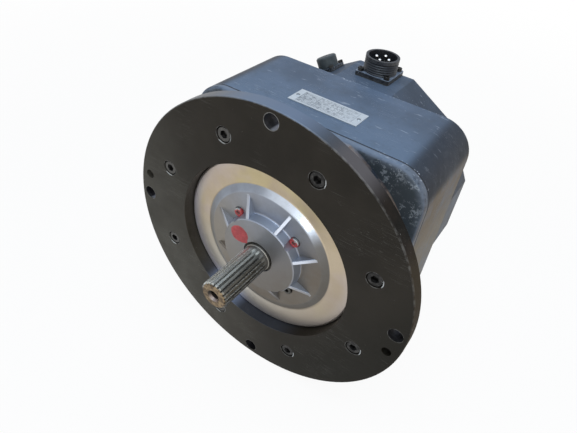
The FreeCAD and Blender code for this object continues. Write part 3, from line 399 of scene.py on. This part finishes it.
# Painted shade towards the lower right of the floor.
cast_colour = (x - z).rise(-0.04, 0.05).blend(cast_colour, (0.150, 0.128, 0.103))
step_lit = ((x * 0.36 + z * 0.933) / off_axis).rise(0.82, 0.985)
step_top = ((z * 0.94 - x * 0.34) / off_axis).rise(0.35, 0.90)
step_dull = step_top.blend((0.275, 0.255, 0.228), (0.400, 0.430, 0.490))
step_dull = (x - z).rise(-0.010, 0.055).blend(step_dull, (0.150, 0.132, 0.110))
cast_colour = (step * (1 - step_lit) * 0.80).blend(cast_colour, step_dull)
cast_colour = (step * step_lit).blend(cast_colour, (0.64, 0.70, 0.79))
mottled = cloud(place, 75, 5, 0.65, 4).rise(0.30, 0.75)
cast_colour = (mottled * 0.35).blend(cast_colour, (0.20, 0.195, 0.185))

# The ribs, with painted highlights in patches on their crests at the upper right and painted shade on the crests at
# the lower left, sloping walls with a painted sky reflection that is bluish at the upper right, and the flat of the
# boss.
from_rib = abs((angle_round(x, z) / rib_sector).of("FRACT") - 0.5) * off_axis * rib_sector
rib_crest = from_rib.rise(rib_half - 0.0001, rib_half - 0.0008) * y_facing.rise(-0.3, -0.6)
rib_crest = rib_crest * off_axis.rise(boss_radius - 0.0005, boss_radius + 0.0005)
rib_crest = rib_crest * off_axis.rise(floor_radius - 0.0020, floor_radius - 0.0030)
# The upper right, where the painted light falls.
upper_right = (x * 0.70 + z * 0.72).rise(-0.026, -0.006)
crest_highlight_patches = 0.35 + 0.6 * cloud(place, 22, 1, 0.5, 2).rise(0.4, 0.6)
cast_colour = (rib_crest * crest_highlight_patches * upper_right).blend(cast_colour, (0.66, 0.70, 0.78))
cast_colour = (rib_crest * (1 - upper_right) * 0.7).blend(cast_colour, (0.150, 0.130, 0.108))
# Painted sky reflection on the sloping walls of the boss and ribs, bluish at the upper right.
walls = y_facing.rise(-0.85, -0.55) * (1 - step)
wall_sky_reflection = upper_right.blend((0.42, 0.37, 0.31), (0.50, 0.55, 0.64))
cast_colour = (walls * 0.7).blend(cast_colour, wall_sky_reflection)
front_face = y_facing.rise(-0.80, -0.95)
boss_top = off_axis.rise(boss_radius - 0.0004, boss_radius - 0.0010) * front_face
cast_colour = (boss_top * 0.30).blend(cast_colour, (0.170, 0.170, 0.172))

# The enamelled flange and neck: a paler rim along the outline, rubbed in patches and stronger at the top by painted
# top light, two knocked patches on the right, and a patchy tan tone on the neck at the upper right.
to_joint = abs(y - frame_low.y)
paint_colour, paint_rough, paint_height, paint_chips = enamel(place, 1.0, to_joint.rise(0.0065, 0.0010), 1.0)
paint_colour = (front_face * 0.85).blend(paint_colour, (0.062, 0.074, 0.080))
past_x = (abs(x) - (frame_high.x - frame_corner)).either(0)
past_z = (abs(z) - (frame_high.x - frame_corner)).either(0)
to_outline = frame_corner - slant(past_x, past_z)
# A paler rim along the flange's outline: rubbed in patches, and stronger at the top by painted top light.
rim_wear_and_light = to_outline.rise(0.0075, 0.0025) * cloud(place, 150, 5, 0.7, 16).rise(0.30, 0.56)
rim_wear_and_light = rim_wear_and_light * (0.20 + 0.35 * z.rise(0.060, 0.100))
paint_colour = rim_wear_and_light.blend(paint_colour, (0.19, 0.225, 0.28))
upper_knock = slant(x - 0.076, z - 0.101).rise(0.021, 0.007)
lower_knock = slant(x - 0.099, z - 0.077).rise(0.016, 0.005)
small_knocks = cloud(place, 62, 2, 0.5, 23).rise(0.57, 0.65)
knocked = upper_knock.either(lower_knock).either(small_knocks)
scuffs = cloud(place, 240, 6, 0.76, 11).rise(0.51, 0.59) * knocked * front_face
paint_colour = (scuffs * 0.62).blend(paint_colour, (0.46, 0.51, 0.56))
# A patchy tan tone on the neck at the upper right.
neck_zone = y.rise(flange_front + 0.0005, flange_front - 0.0005) * (1 - front_face)
neck_tan = neck_zone * (x + z).rise(0.125, 0.160) * cloud(place, 40, 4, 0.6, 17).rise(0.40, 0.60)
paint_colour = (neck_tan * 0.8).blend(paint_colour, (0.26, 0.19, 0.145))
side_seam = to_joint.rise(3 * seam_width, 2 * seam_width) * abs(x_facing).rise(0.80, 0.97)
seam = to_joint.rise(seam_width, 0.6 * seam_width).either(side_seam)
paint_colour = (seam * 0.85).blend(paint_colour, seam_dirt)

dull_step = step * (1 - faced) * (1 - step_lit)
metal = (1 - outside) * (0.85 - 0.6 * dull_step) + outside * paint_chips * 0.8
cast_rough = 0.38 + 0.14 * cloud(place, 300, 3) - faced * 0.04 - step * (1 - faced) * 0.16 + dull_step * 0.40
sand = cloud(place, 1300, 4, 0.6) * (1 - step) * 0.7 + rings * faced * 0.25
coat_surface(shader, Base_Color=outside.blend(faced.blend(cast_colour, faced_colour), paint_colour),
             Metallic=metal, Roughness=cast_rough * (1 - outside) + paint_rough * outside, Specular=0.34,
             Normal=bumped(sand * (1 - outside) + paint_height * outside, 0.00011))
dress(bracket_alloy, "front_bracket")

# Paint mark: a dab of red inspection paint brushed on the boss beside the shaft, with a small run below it.
# It is a thin closed skin that has dried on the flat of the boss.
boss_face = -0.0020
mark_centre = np.array([-0.0204, 0.0143])
mark_radius = 0.0088
mark_rim = 0.00001
mark_crown = 0.00005
mark_bed = 0.00002
run_reach = 0.16
run_width = 0.30


def paint_dab(rings, spokes):
    """Rings of points from the middle of the skin's front out to its rim and back to the middle of its underside.
    The rim's radius wobbles with the angle and is drawn out into a run towards the shaft. The front stands proud
    of the boss by the rim's height, plus the crown's times one minus the fourth power of the share of the radius:
    six hundredths of a millimetre in the middle, one at the rim. The underside is flat, just inside the boss."""
    out_and_back = np.linspace(0, 2, 2 * rings - 1)[:, None]
    share = 1 - abs(out_and_back - 1)
    angle = np.linspace(0, 2 * np.pi, spokes, endpoint=False)[None, :]
    shaftwards = np.arctan2(-mark_centre[1], -mark_centre[0])
    from_run = np.angle(np.exp(1j * (angle - shaftwards)))
    wobble = 1 + 0.04 * np.sin(2 * angle + 0.6) + 0.012 * np.sin(5 * angle) + 0.012 * np.sin(11 * angle + 1)
    wobble = wobble + run_reach * np.exp(-(from_run / run_width) ** 2)
    reach = mark_radius * share * wobble
    grid = np.empty((2 * rings - 1, spokes, 3))
    grid[..., 0] = mark_centre[0] + reach * np.cos(angle)
    grid[..., 1] = boss_face + np.where(out_and_back <= 1, -mark_rim - mark_crown * (1 - share ** 4), mark_bed)
    grid[..., 2] = mark_centre[1] + reach * np.sin(angle)
    return grid


def grid_mesh(name, grid):
    """A mesh from a grid of points that closes on itself in its second direction. Each row is joined to the next
    by a band of faces, and a row whose points fall together is merged into one pole."""
    rows, columns, _ = grid.shape
    first = np.arange(rows - 1)[:, None] * columns + np.arange(columns)[None, :]
    second = np.arange(rows - 1)[:, None] * columns + (np.arange(columns)[None, :] + 1) % columns
    faces = np.stack([first, first + columns, second + columns, second], -1).reshape(-1, 4)
    mesh = bpy.data.meshes.new(name)
    mesh.from_pydata(grid.reshape(-1, 3).tolist(), [], faces.tolist())
    shell = bmesh.new()
    shell.from_mesh(mesh)
    bmesh.ops.remove_doubles(shell, verts=shell.verts, dist=1e-7)
    shell.to_mesh(mesh)
    shell.free()
    piece = bpy.data.objects.new(name, mesh)
    bpy.context.scene.collection.objects.link(piece)
    return piece


paint_mark = grid_mesh("paint_mark", paint_dab(14, 72))
red_paint, place, shader = new_finish("red_paint")
brushed = scratched(place, (0, 0.9, 0), 90, 1600, 0.06)
thickness = cloud(place, 260, 4).rise(0.3, 0.7) * 0.7 + brushed * 0.3
coat_surface(shader, Base_Color=thickness.blend((0.31, 0.026, 0.030), (0.52, 0.062, 0.066)),
             Roughness=0.42 + 0.2 * cloud(place, 500, 2), Normal=bumped(brushed, 0.00004))
paint_mark.data.materials.append(red_paint)
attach(paint_mark, "housing")

# Shaft seal: a moulded lip seal pressed into the boss behind its opening. The rubber is brownish grey with dust
# and old grease that lie in dark rings round the shaft.
grease_ripple = 7000  # radians per metre
seal_rubber, place, shader = new_finish("seal_rubber")
x, _, z = parts_of(place)
greased = (slant(x, z) * grease_ripple).of("SINE").rise(0.2, 0.8)
colour = cloud(place, 300, 4).rise(0.35, 0.7).blend((0.150, 0.138, 0.115), (0.260, 0.240, 0.200))
colour = (greased * 0.5).blend(colour, (0.045, 0.042, 0.037))
coat_surface(shader, Base_Color=colour, Roughness=0.5 + 0.25 * cloud(place, 150, 3),
             Normal=bumped(cloud(place, 1400, 2), 0.00005))
dress(seal_rubber, "shaft_seal")

# Retainer screws: four socket head screws at the foot of the boss that draw up the bearing retainer. Their heads
# are dabbed with red sealing paint, and the steel shows in the sockets and where the paint has chipped.
screw_out = 0.0405 * math.sqrt(0.5)
socket_radius = 0.0016
sealed_screw, place, shader = new_finish("sealed_screw")
x, _, z = parts_of(place)
chipped = cloud(place, 420, 4, 0.6)
left_bare = x.rise(0.0, 0.01) * z.rise(0.0, -0.01)
dabbed = (screw_out - abs(x)) * 0.5 + (screw_out - abs(z)) * 0.85 + (chipped - 0.5) * 0.006
past_socket = slant(abs(x) - screw_out, abs(z) - screw_out).rise(socket_radius, socket_radius + 0.0007)
paint_cover = past_socket * dabbed.rise(-0.0030, -0.0018) * (1 - left_bare)
paint_red = cloud(place, 300, 3).rise(0.3, 0.7).blend((0.30, 0.020, 0.022), (0.52, 0.050, 0.045))
bare_head = cloud(place, 200, 3).blend((0.24, 0.26, 0.25), (0.58, 0.60, 0.58))
bare_head = (left_bare * 0.9).blend(bare_head, (0.040, 0.036, 0.030))
coat_surface(shader, Base_Color=paint_cover.blend(bare_head, paint_red), Metallic=(1 - paint_cover) * 0.9,
             Roughness=0.30 + 0.15 * chipped, Normal=bumped(paint_cover + 0.4 * cloud(place, 700, 2), 0.00012))
dress(sealed_screw, "retainer_screws")

# Adapter ring: a thick turned steel plate, blackened and oiled, bolted to the bracket with eight sunk screws.
# Its front rim and the lips of its holes are rubbed bright, with painted highlights on the upper rim and round the
# top hole, a painted sheen lies at its lower left, and pale specks and scratches lie on its face.
ring_radius = 0.1400
screw_circle, screw_count, sink_radius = 0.220, 8, 0.0070
mount_circle, mount_count, mount_radius = 0.260, 4, 0.0065
ring_black, place, shader = new_finish("ring_black")
x, y, z = parts_of(place)
x_facing, _, z_facing = facing_of(place)
off_axis = slant(x, z)
around = angle_round(x, z)
rings = tool_lines(off_axis, 1500.0, 3.0)
worn = cloud(place, 180, 4, 0.6, 8)

# The blackened face, with a painted sheen at the lower left and painted shade towards the lower right.
colour = cloud(place, 14, 4, 0.6).rise(0.3, 0.7).blend((0.0185, 0.0150, 0.0108), (0.0290, 0.0238, 0.0175))
lower_left_sheen = (x * -0.85 + z * -0.5).rise(0.0, 0.15) * (cloud(place, 26, 4, 0.6, 2).rise(0.20, 0.75) * 0.6 + 0.4)
colour = (lower_left_sheen * 0.9).blend(colour, (0.095, 0.088, 0.070))
shaded = (x * 0.8 - z * 0.6).rise(0.05, 0.13)
colour = (shaded * 0.85).blend(colour, (0.0085, 0.0076, 0.0045))

# The round side, brown with old rust, rubbed to bare steel along the top and tinted blue there by a painted sky
# reflection, and the wall of the bore, with a painted sky reflection and a painted glint on its lower part.
side = off_axis.rise(ring_radius - 0.0008, ring_radius - 0.00015)
rust = cloud(place, 45, 4, 0.6, 6).rise(0.35, 0.7).blend((0.0065, 0.0060, 0.0048), (0.022, 0.016, 0.012))
rust = around.rise(0.62, 0.46).blend(rust, (0.040, 0.030, 0.018))
browned = around.rise(0.84, 1.04) * around.rise(1.32, 1.15)
rust = browned.blend(rust, (0.110, 0.100, 0.102))
# Rubbed bare along the top, where the steel is tinted blue by a painted sky reflection.
bare_top_and_sky = z.rise(0.126, 0.138).either(x.rise(-0.010, -0.030) * z.rise(0.085, 0.115))
sky_tinted_steel = x.rise(0.055, 0.010).blend((0.090, 0.102, 0.122), (0.178, 0.222, 0.290))
sky_tinted_steel = x.rise(-0.020, -0.065).blend(sky_tinted_steel, (0.185, 0.180, 0.178))
colour = side.blend(colour, bare_top_and_sky.blend(rust, sky_tinted_steel))
# Painted sky reflection and a painted glint on the lower part of the bore's wall.
bore_wall = off_axis.rise(ring_bore + 0.0006, ring_bore + 0.0002)
bore_low = abs(around + 1.75).rise(0.85, 0.40) * 0.65
colour = (bore_wall * bore_low).blend(colour, (0.075, 0.085, 0.108))
bore_glint = abs(around + 2.05).rise(0.30, 0.12)
colour = (bore_wall * bore_glint).blend(colour, (0.22, 0.27, 0.38))


def hole_offset(circle, count, turn):
    """How far to the right and up a point lies from the nearest of a ring of holes: the angle is folded into one
    hole's sector, which gives the angle of that hole's centre."""
    sector = 2 * math.pi / count
    sectors = (around - turn) / sector + 0.5
    centre_angle = around - (sectors.of("FRACT") - 0.5) * sector
    return x - centre_angle.of("COSINE") * (circle / 2), z - centre_angle.of("SINE") * (circle / 2)


# Scratches, specks, the rim and the lips of the holes: rubbed bright in patches, with painted highlights on the
# upper rim and round the top hole, painted glints on one side of the sunk holes' lips, and painted shade inside the
# mount holes.
face = y.rise(0.0006, 0.0002)
screw_right, screw_up = hole_offset(screw_circle, screw_count, math.pi / screw_count)
mount_right, mount_up = hole_offset(mount_circle, mount_count, 0)
from_sink = abs(slant(screw_right, screw_up) - sink_radius)
mount_gap = slant(mount_right, mount_up)
top_hole = z.rise(0.110, 0.120)
lips = from_sink.rise(0.0005, 0.0001).either(abs(mount_gap - mount_radius).rise(0.0005, 0.0001))
# The lips of the top hole get an extra painted highlight.
lips_wear_and_light = lips * face * (worn.rise(0.35, 0.6) * 0.4 + top_hole * 0.4)
rim = off_axis.rise(ring_radius - 0.0012, ring_radius - 0.0008) * y.rise(0.0016, 0.0009)
rim_wear_and_light = rim * worn.rise(0.35, 0.65) * z.rise(-0.01, 0.07) * 0.24
edges_wear_and_light = lips_wear_and_light.either(rim_wear_and_light)
specks = cloud(place, 520, 2, 0.5, 5).rise(0.745, 0.77) * cloud(place, 24, 2, 0.5, 3).rise(0.40, 0.62)
marks = scratched(place, (0, 0.5, 0), 18, 700, 0.006) * cloud(place, 20, 2, 0.5, 12).rise(0.52, 0.66)
crossed = scratched(place, (0, -0.9, 0), 22, 900, 0.006) * cloud(place, 16, 2, 0.5, 15).rise(0.52, 0.66)
marks = marks.either(crossed)
colour = (marks * 0.30).blend(colour, (0.20, 0.19, 0.17))
colour = (specks * 0.8).blend(colour, (0.50, 0.49, 0.46))
colour = edges_wear_and_light.blend(colour, (0.36, 0.35, 0.33))
glint_side = x.rise(-0.06, 0.0)
right_glint = screw_right.rise(sink_radius - 0.0007, sink_radius - 0.0001) * glint_side
below_screw = screw_right * -0.2 - screw_up * 0.98
low_glint = below_screw.rise(sink_radius - 0.0007, sink_radius - 0.0001) * (1 - glint_side)
lip_glint = from_sink.rise(0.0009, 0.0004) * right_glint.either(low_glint) * face
colour = (lip_glint * 0.8).blend(colour, (0.62, 0.62, 0.60))
# Inside the mount holes: painted shade, with a painted glint on the upward wall of the top and left holes.
drilled = mount_gap.rise(mount_radius + 0.0002, mount_radius + 0.0001) * y.rise(0.0006, 0.0010)
hole_glint = (z_facing * 0.85 - x_facing * 0.5).rise(0.70, 0.95) * top_hole.either(x.rise(-0.110, -0.122))
hole_shade = worn.rise(0.35, 0.65).blend((0.020, 0.019, 0.020), (0.055, 0.053, 0.056))
colour = drilled.blend(colour, hole_glint.blend(hole_shade, (0.50, 0.50, 0.54)))

metal = (edges_wear_and_light * 0.7).either(drilled * 0.6).either(side * bare_top_and_sky * 0.9).either(bore_wall * 0.6)
roughness = 0.40 + 0.18 * cloud(place, 50, 4, 0.6, 9) + 0.08 * rings - 0.10 * lower_left_sheen + 0.30 * side * (1 - bare_top_and_sky)
coat_surface(shader, Base_Color=colour, Specular=0.11, Metallic=metal, Roughness=roughness,
             Normal=bumped(rings * 0.35 + cloud(place, 900, 3) * 0.3 - marks * 0.5, 0.00006))
dress(ring_black, "adapter_ring")

# Black screws: blackened socket head screws that hold the ring, the brackets, the covers and the connectors.
# Their sockets and head edges are rubbed to grey steel by the key.
black_screw, place, shader = new_finish("black_screw")
used = cloud(place, 240, 4, 0.6)
colour = used.rise(0.45, 0.75).blend((0.014, 0.013, 0.012), (0.080, 0.075, 0.070))
# Painted light: the flat tops of the heads on the left side are lighter.
lit_left_heads = facing_of(place)[1].rise(-0.80, -0.95) * parts_of(place)[0].rise(0.03, -0.05)
colour = (lit_left_heads * (0.35 + 0.5 * used)).blend(colour, (0.120, 0.112, 0.100))
coat_surface(shader, Base_Color=colour, Metallic=0.35, Roughness=0.36 + 0.2 * cloud(place, 600, 2), Specular=0.3,
             Normal=bumped(cloud(place, 1500, 2), 0.00004))
dress(black_screw, "ring_screws", "bracket_screws", "rear_bracket_screws", "cover_screws", "power_screws",
      "signal_screws", "encoder_screws", "board_screws")

# Rear bracket and encoder base: aluminium castings with a light skin of oxide, turned where the rear bearing and
# the encoder sit. They are screwed together at the frame's rear end, out of sight under the rear cover.
inner_alloy, place, shader = new_finish("inner_alloy")
colour = cloud(place, 70, 4, 0.6).rise(0.3, 0.7).blend((0.36, 0.36, 0.35), (0.52, 0.52, 0.51))
coat_surface(shader, Base_Color=colour, Metallic=0.9, Roughness=0.38 + 0.2 * cloud(place, 300, 3),
             Normal=bumped(cloud(place, 1000, 3), 0.00006))
dress(inner_alloy, "rear_bracket", "encoder_base")

# Encoder: a glass disc with a fine ring of slots on the rear stub, read by a moulded fork under a round circuit
# board. The board is green resist over copper tracks, with a moulded header for the sleeved signal lead.
slot_ring = 0.0245
slot_count = 240
code_glass, place, shader = new_finish("code_glass")
x, _, z = parts_of(place)
slots = (angle_round(x, z) * slot_count).of("SINE").rise(-0.1, 0.1)
slots = slots * abs(slant(x, z) - slot_ring).rise(0.0016, 0.0014)
coat_surface(shader, Base_Color=slots.blend((0.75, 0.82, 0.82), (0.03, 0.03, 0.03)),
             Roughness=0.06 + 0.05 * cloud(place, 300, 2), Alpha=0.35 + 0.6 * slots)
dress(code_glass, "encoder_disc")

circuit_green, place, shader = new_finish("circuit_green")
tracks = scratched(place, (0, 0.785, 0), 120, 420, 0.05)
colour = (tracks * 0.6).blend((0.010, 0.085, 0.030), (0.040, 0.170, 0.070))
coat_surface(shader, Base_Color=colour, Roughness=0.25 + 0.15 * cloud(place, 500, 2),
             Normal=bumped(tracks, 0.00003))
dress(circuit_green, "encoder_board")

moulded_black, place, shader = new_finish("moulded_black")
colour = cloud(place, 200, 3).blend((0.012, 0.012, 0.013), (0.030, 0.030, 0.031))
coat_surface(shader, Base_Color=colour, Roughness=0.38 + 0.2 * cloud(place, 500, 3),
             Normal=bumped(cloud(place, 1600, 2), 0.00003))
dress(moulded_black, "encoder_sensor", "board_header", "power_insert", "signal_insert")

lead_sleeve, place, shader = new_finish("lead_sleeve")
colour = cloud(place, 160, 3).blend((0.10, 0.014, 0.014), (0.20, 0.030, 0.028))
coat_surface(shader, Base_Color=colour, Roughness=0.40 + 0.15 * cloud(place, 400, 2),
             Normal=bumped(cloud(place, 900, 2), 0.00003))
dress(lead_sleeve, "power_leads", "signal_lead")

# Rear cover: a cast aluminium cap with twelve flat sides over the encoder, in the same enamel as the frame. It is
# seated on a thin gasket; its front edge and other edges are chipped, and the corners between its flat sides are
# darkened by painted shade.
cover_low, cover_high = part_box("rear_cover")
cover_rim = 0.1090
cover_enamel, place, shader = new_finish("cover_enamel")
x, y, z = parts_of(place)
back_face = facing_of(place)[1].rise(0.6, 0.9)
near_end = abs(y - cover_low.y).lesser(abs(y - cover_high.y)).rise(0.0030, 0.0004)
near_rim = slant(x, z).rise(cover_rim - 0.0030, cover_rim)
edge_zone = (near_end * (1 - back_face)).either(near_rim * back_face)
colour, roughness, height, chips = enamel(place, 0.78, edge_zone, 0.60)
coat_surface(shader, Base_Color=colour, Roughness=roughness + 0.06, Metallic=chips * 0.8, Specular=0.30,
             Normal=bumped(height + cloud(place, 420, 3) * 0.5, 0.00014))
dress(cover_enamel, "rear_cover")

gasket_sheet, place, shader = new_finish("gasket_sheet")
colour = cloud(place, 800, 4, 0.7).blend((0.020, 0.020, 0.020), (0.060, 0.058, 0.054))
coat_surface(shader, Base_Color=colour, Roughness=0.75 + 0.15 * cloud(place, 300, 2),
             Normal=bumped(cloud(place, 1800, 3), 0.00006))
dress(gasket_sheet, "cover_gasket", "power_gasket", "signal_gasket")

# Power connector: a flanged aluminium receptacle with a coarse thread, in a black finish that is dusty on the
# flange, where a painted sky reflection also lies, and rubbed on the thread's crests. Four silver-plated pins stand
# in a moulded insert.
power_middle = 0.1758
thread_foot = 0.1165
thread_radius = 0.01586
socket_black, place, shader = new_finish("socket_black")
x, y, z = parts_of(place)
dusty = cloud(place, 700, 4, 0.65).rise(0.52, 0.66) * x.rise(-0.006, -0.016)
dusty = dusty * z.rise(thread_foot + 0.0050, thread_foot)
crest = slant(x, y - power_middle).rise(thread_radius - 0.00026, thread_radius)
crest = crest * cloud(place, 260, 4).rise(0.35, 0.65)
colour = cloud(place, 90, 4).blend((0.010, 0.012, 0.015), (0.024, 0.027, 0.033))
colour = (crest * 0.4).blend(colour, (0.10, 0.105, 0.11))
# The flange's upward faces are paler and bluish in patches: dust with a painted sky reflection.
flange_top = facing_of(place)[2].rise(0.75, 0.95) * z.rise(thread_foot, thread_foot - 0.0020)
flange_dust_and_sky = flange_top * (0.45 + 0.5 * cloud(place, 240, 4, 0.6, 6).rise(0.35, 0.65))
colour = flange_dust_and_sky.blend(colour, (0.235, 0.285, 0.370))
colour = (dusty * 0.7).blend(colour, (0.27, 0.30, 0.34))
coat_surface(shader, Base_Color=colour, Metallic=0.25,
             Roughness=0.36 + 0.2 * cloud(place, 300, 3) + 0.2 * dusty,
             Normal=bumped(cloud(place, 900, 3), 0.00004))
dress(socket_black, "power_shell", "signal_shell")

silver_plate, place, shader = new_finish("silver_plate")
colour = cloud(place, 300, 3).rise(0.3, 0.7).blend((0.62, 0.61, 0.58), (0.84, 0.84, 0.82))
coat_surface(shader, Base_Color=colour, Metallic=1.0, Roughness=0.16 + 0.12 * cloud(place, 700, 2),
             Normal=bumped(cloud(place, 1500, 2), 0.00002))
dress(silver_plate, "power_pins", "signal_pins")

# Signal connector's cap: a moulded screw cap in dark greenish grey. It is turned by hand on to the thread of the
# small receptacle and keeps dirt out of it.
cap_plastic, place, shader = new_finish("cap_plastic")
colour = cloud(place, 110, 4, 0.6).rise(0.3, 0.7).blend((0.032, 0.040, 0.043), (0.062, 0.074, 0.078))
coat_surface(shader, Base_Color=colour, Roughness=0.48 + 0.2 * cloud(place, 400, 3), Specular=0.4,
             Normal=bumped(cloud(place, 1200, 3), 0.00006))
dress(cap_plastic, "signal_cap")

# Nameplate: a thin bare sheet of satin aluminium held on the frame's top by two domed rivets. Its printed border
# and ruled fields are left blank, and the sheet is smudged and rubbed.
plate_low, plate_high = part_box("nameplate")
plate_metal, place, shader = new_finish("plate_metal")
x, y, z = parts_of(place)
brushed = place.node("ShaderNodeTexNoise", {"noise_dimensions": "2D"},
                     {"Vector": stretched(place, (0, 0, 0), (60, 2600, 1)), "Scale": 1.0, "Detail": 2.0})
sheen = (brushed * 0.5 + cloud(place, 60, 4) * 0.5).rise(0.3, 0.7)
colour = sheen.blend((0.420, 0.450, 0.465), (0.640, 0.665, 0.670))
across = (x - plate_low.x) / (plate_high.x - plate_low.x)
along = (y - plate_low.y) / (plate_high.y - plate_low.y)
rows = abs((along * 5).of("FRACT") - 0.5).rise(0.455, 0.475)
fields = abs((across * 3).of("FRACT") - 0.5).rise(0.484, 0.490)
inside = abs(along - 0.5).rise(0.42, 0.41) * abs(across - 0.5).rise(0.41, 0.405)
border = abs(along - 0.5).rise(0.40, 0.415) + abs(across - 0.5).rise(0.395, 0.40)
ruled = rows.either(fields).either(border.lesser(1.0)) * inside
smudge = cloud(place, 420, 6, 0.80, 3).rise(0.485, 0.585) * inside
colour = (ruled * 0.55).either(smudge * 0.72).blend(colour, (0.10, 0.12, 0.14))
polished_end = across.rise(0.62, 0.98) * 0.45
colour = polished_end.either((1 - inside) * 0.30).blend(colour, (0.70, 0.74, 0.76))
rivets = (z - plate_high.z).rise(0.00005, 0.00025)
colour = (rivets * 0.75).blend(colour, (0.11, 0.12, 0.13))
coat_surface(shader, Base_Color=colour, Metallic=0.7, Roughness=0.36 + 0.2 * brushed,
             Normal=bumped(brushed, 0.00003))
dress(plate_metal, "nameplate", "nameplate_rivets")

# Camera: a normal lens above and to the right of the shaft, as the motor was photographed. Its place, its three
# directions and its focal length in picture points were worked out from the adapter ring's holes.
picture_width = 577
focal_length = 492.106
film_width = 36
eye = (0.165079, -0.247566, 0.300486)
right = (0.816613, 0.567809, 0.103613)
down = (0.436404, -0.489916, -0.754675)
ahead = (-0.377750, 0.661494, -0.647866)
lens_data = bpy.data.cameras.new("camera")
lens_data.sensor_width = film_width
lens_data.lens = focal_length / picture_width * film_width
lens_data.clip_start = 0.01
lens_data.clip_end = 50
camera = bpy.data.objects.new("camera", lens_data)
camera.matrix_world = Matrix([(right[row], -down[row], -ahead[row], eye[row]) for row in range(3)] + [(0, 0, 0, 1)])
bpy.context.scene.collection.objects.link(camera)
bpy.context.scene.camera = camera
bpy.context.scene.view_settings.view_transform = "Standard"


# Floor: a wide round sheet of matt white board, laid just under the ring's rim. It shows almost white to the
# camera, to mirrors and to glass, whitest far off, and keeps a soft shadow under the motor.
def seen_straight(tone):
    """1 where the camera, a mirror or glass looks at the surface, 0 where it only lights other things."""
    camera_ray, glossy_ray, clear_ray = [tone.node("ShaderNodeLightPath", {}, {}, ray) for ray in (
        "Is Camera Ray", "Is Glossy Ray", "Is Transmission Ray")]
    return camera_ray.either(glossy_ray).either(clear_ray)


floor_level = cad_box[0].z - 0.0002
board_radius = 6
board_middle = 0.1
share = np.linspace(0.0, 1.0, 24)[:, None] ** 2
angle = np.linspace(0, 2 * np.pi, 64, endpoint=False)[None, :]
floor = grid_mesh("floor", np.stack(np.broadcast_arrays(
    board_radius * share * np.cos(angle), board_radius * share * np.sin(angle) + board_middle,
    floor_level + 0 * share * angle), -1))
floor_white, place, board = new_finish("floor_white")
coat_surface(board, Base_Color=(0.86, 0.86, 0.85, 1), Roughness=0.9)
x, y, _ = parts_of(place)
whiteness = seen_straight(place) * (0.93 + 0.07 * slant(x, y).rise(0.35, 1.6))
glow = place.node("ShaderNodeEmission", {}, {"Strength": 1.0})
shown = place.node("ShaderNodeMixShader", {}, {0: whiteness, 1: Tone(place.tree, board.outputs[0]), 2: glow})
place.tree.links.new(shown.socket, place.tree.nodes["Material Output"].inputs[0])
floor.data.materials.append(floor_white)

# Light: a wide soft window above, a softer warm fill from the front, a small cool lamp low in front, a weak warm
# bounce from the right, and an even white surround that is bluish overhead.
world = bpy.data.worlds.new("surround")
bpy.context.scene.world = world
world.use_nodes = True
direction = Tone(world.node_tree).node("ShaderNodeTexCoord", {}, {}, "Generated")
tint = parts_of(direction)[2].rise(0.30, 0.75).blend((1, 1, 1), (0.55, 0.68, 0.92))
coat_surface(world.node_tree.nodes["Background"], Color=tint, Strength=seen_straight(direction) * 0.55 + 0.45)


def soft_lamp(name, spot, aim, size, power, colour):
    """A square lamp of the given size at spot, turned to face aim."""
    lamp = bpy.data.lights.new(name, "AREA")
    lamp.size = size
    lamp.energy = power
    lamp.color = colour
    holder = bpy.data.objects.new(name, lamp)
    away = np.array(spot, float) - np.array(aim, float)
    away /= np.linalg.norm(away)
    side = np.cross((0, 0, 1), away)
    side /= np.linalg.norm(side)
    up = np.cross(away, side)
    turn = np.eye(4)
    turn[:3, :3] = np.stack([side, up, away], 1)
    turn[:3, 3] = spot
    holder.matrix_world = Matrix(turn.tolist())
    holder.visible_camera = False
    bpy.context.scene.collection.objects.link(holder)


soft_lamp("roof_light", (0.15, -0.20, 1.40), (0, 0.05, 0), 1.2, 13, (0.83, 0.93, 1.0))
soft_lamp("fill", (0.55, -1.35, 0.75), (0, 0.05, 0), 1.2, 4, (1.0, 0.96, 0.90))
soft_lamp("door_light", (0.30, -1.5, 0.00), (0, 0.0, 0), 0.28, 2.2, (0.84, 0.92, 1.0))
soft_lamp("side_bounce", (1.30, 0.45, 0.10), (0, 0.10, 0), 0.9, 2.6, (1.0, 0.72, 0.42))
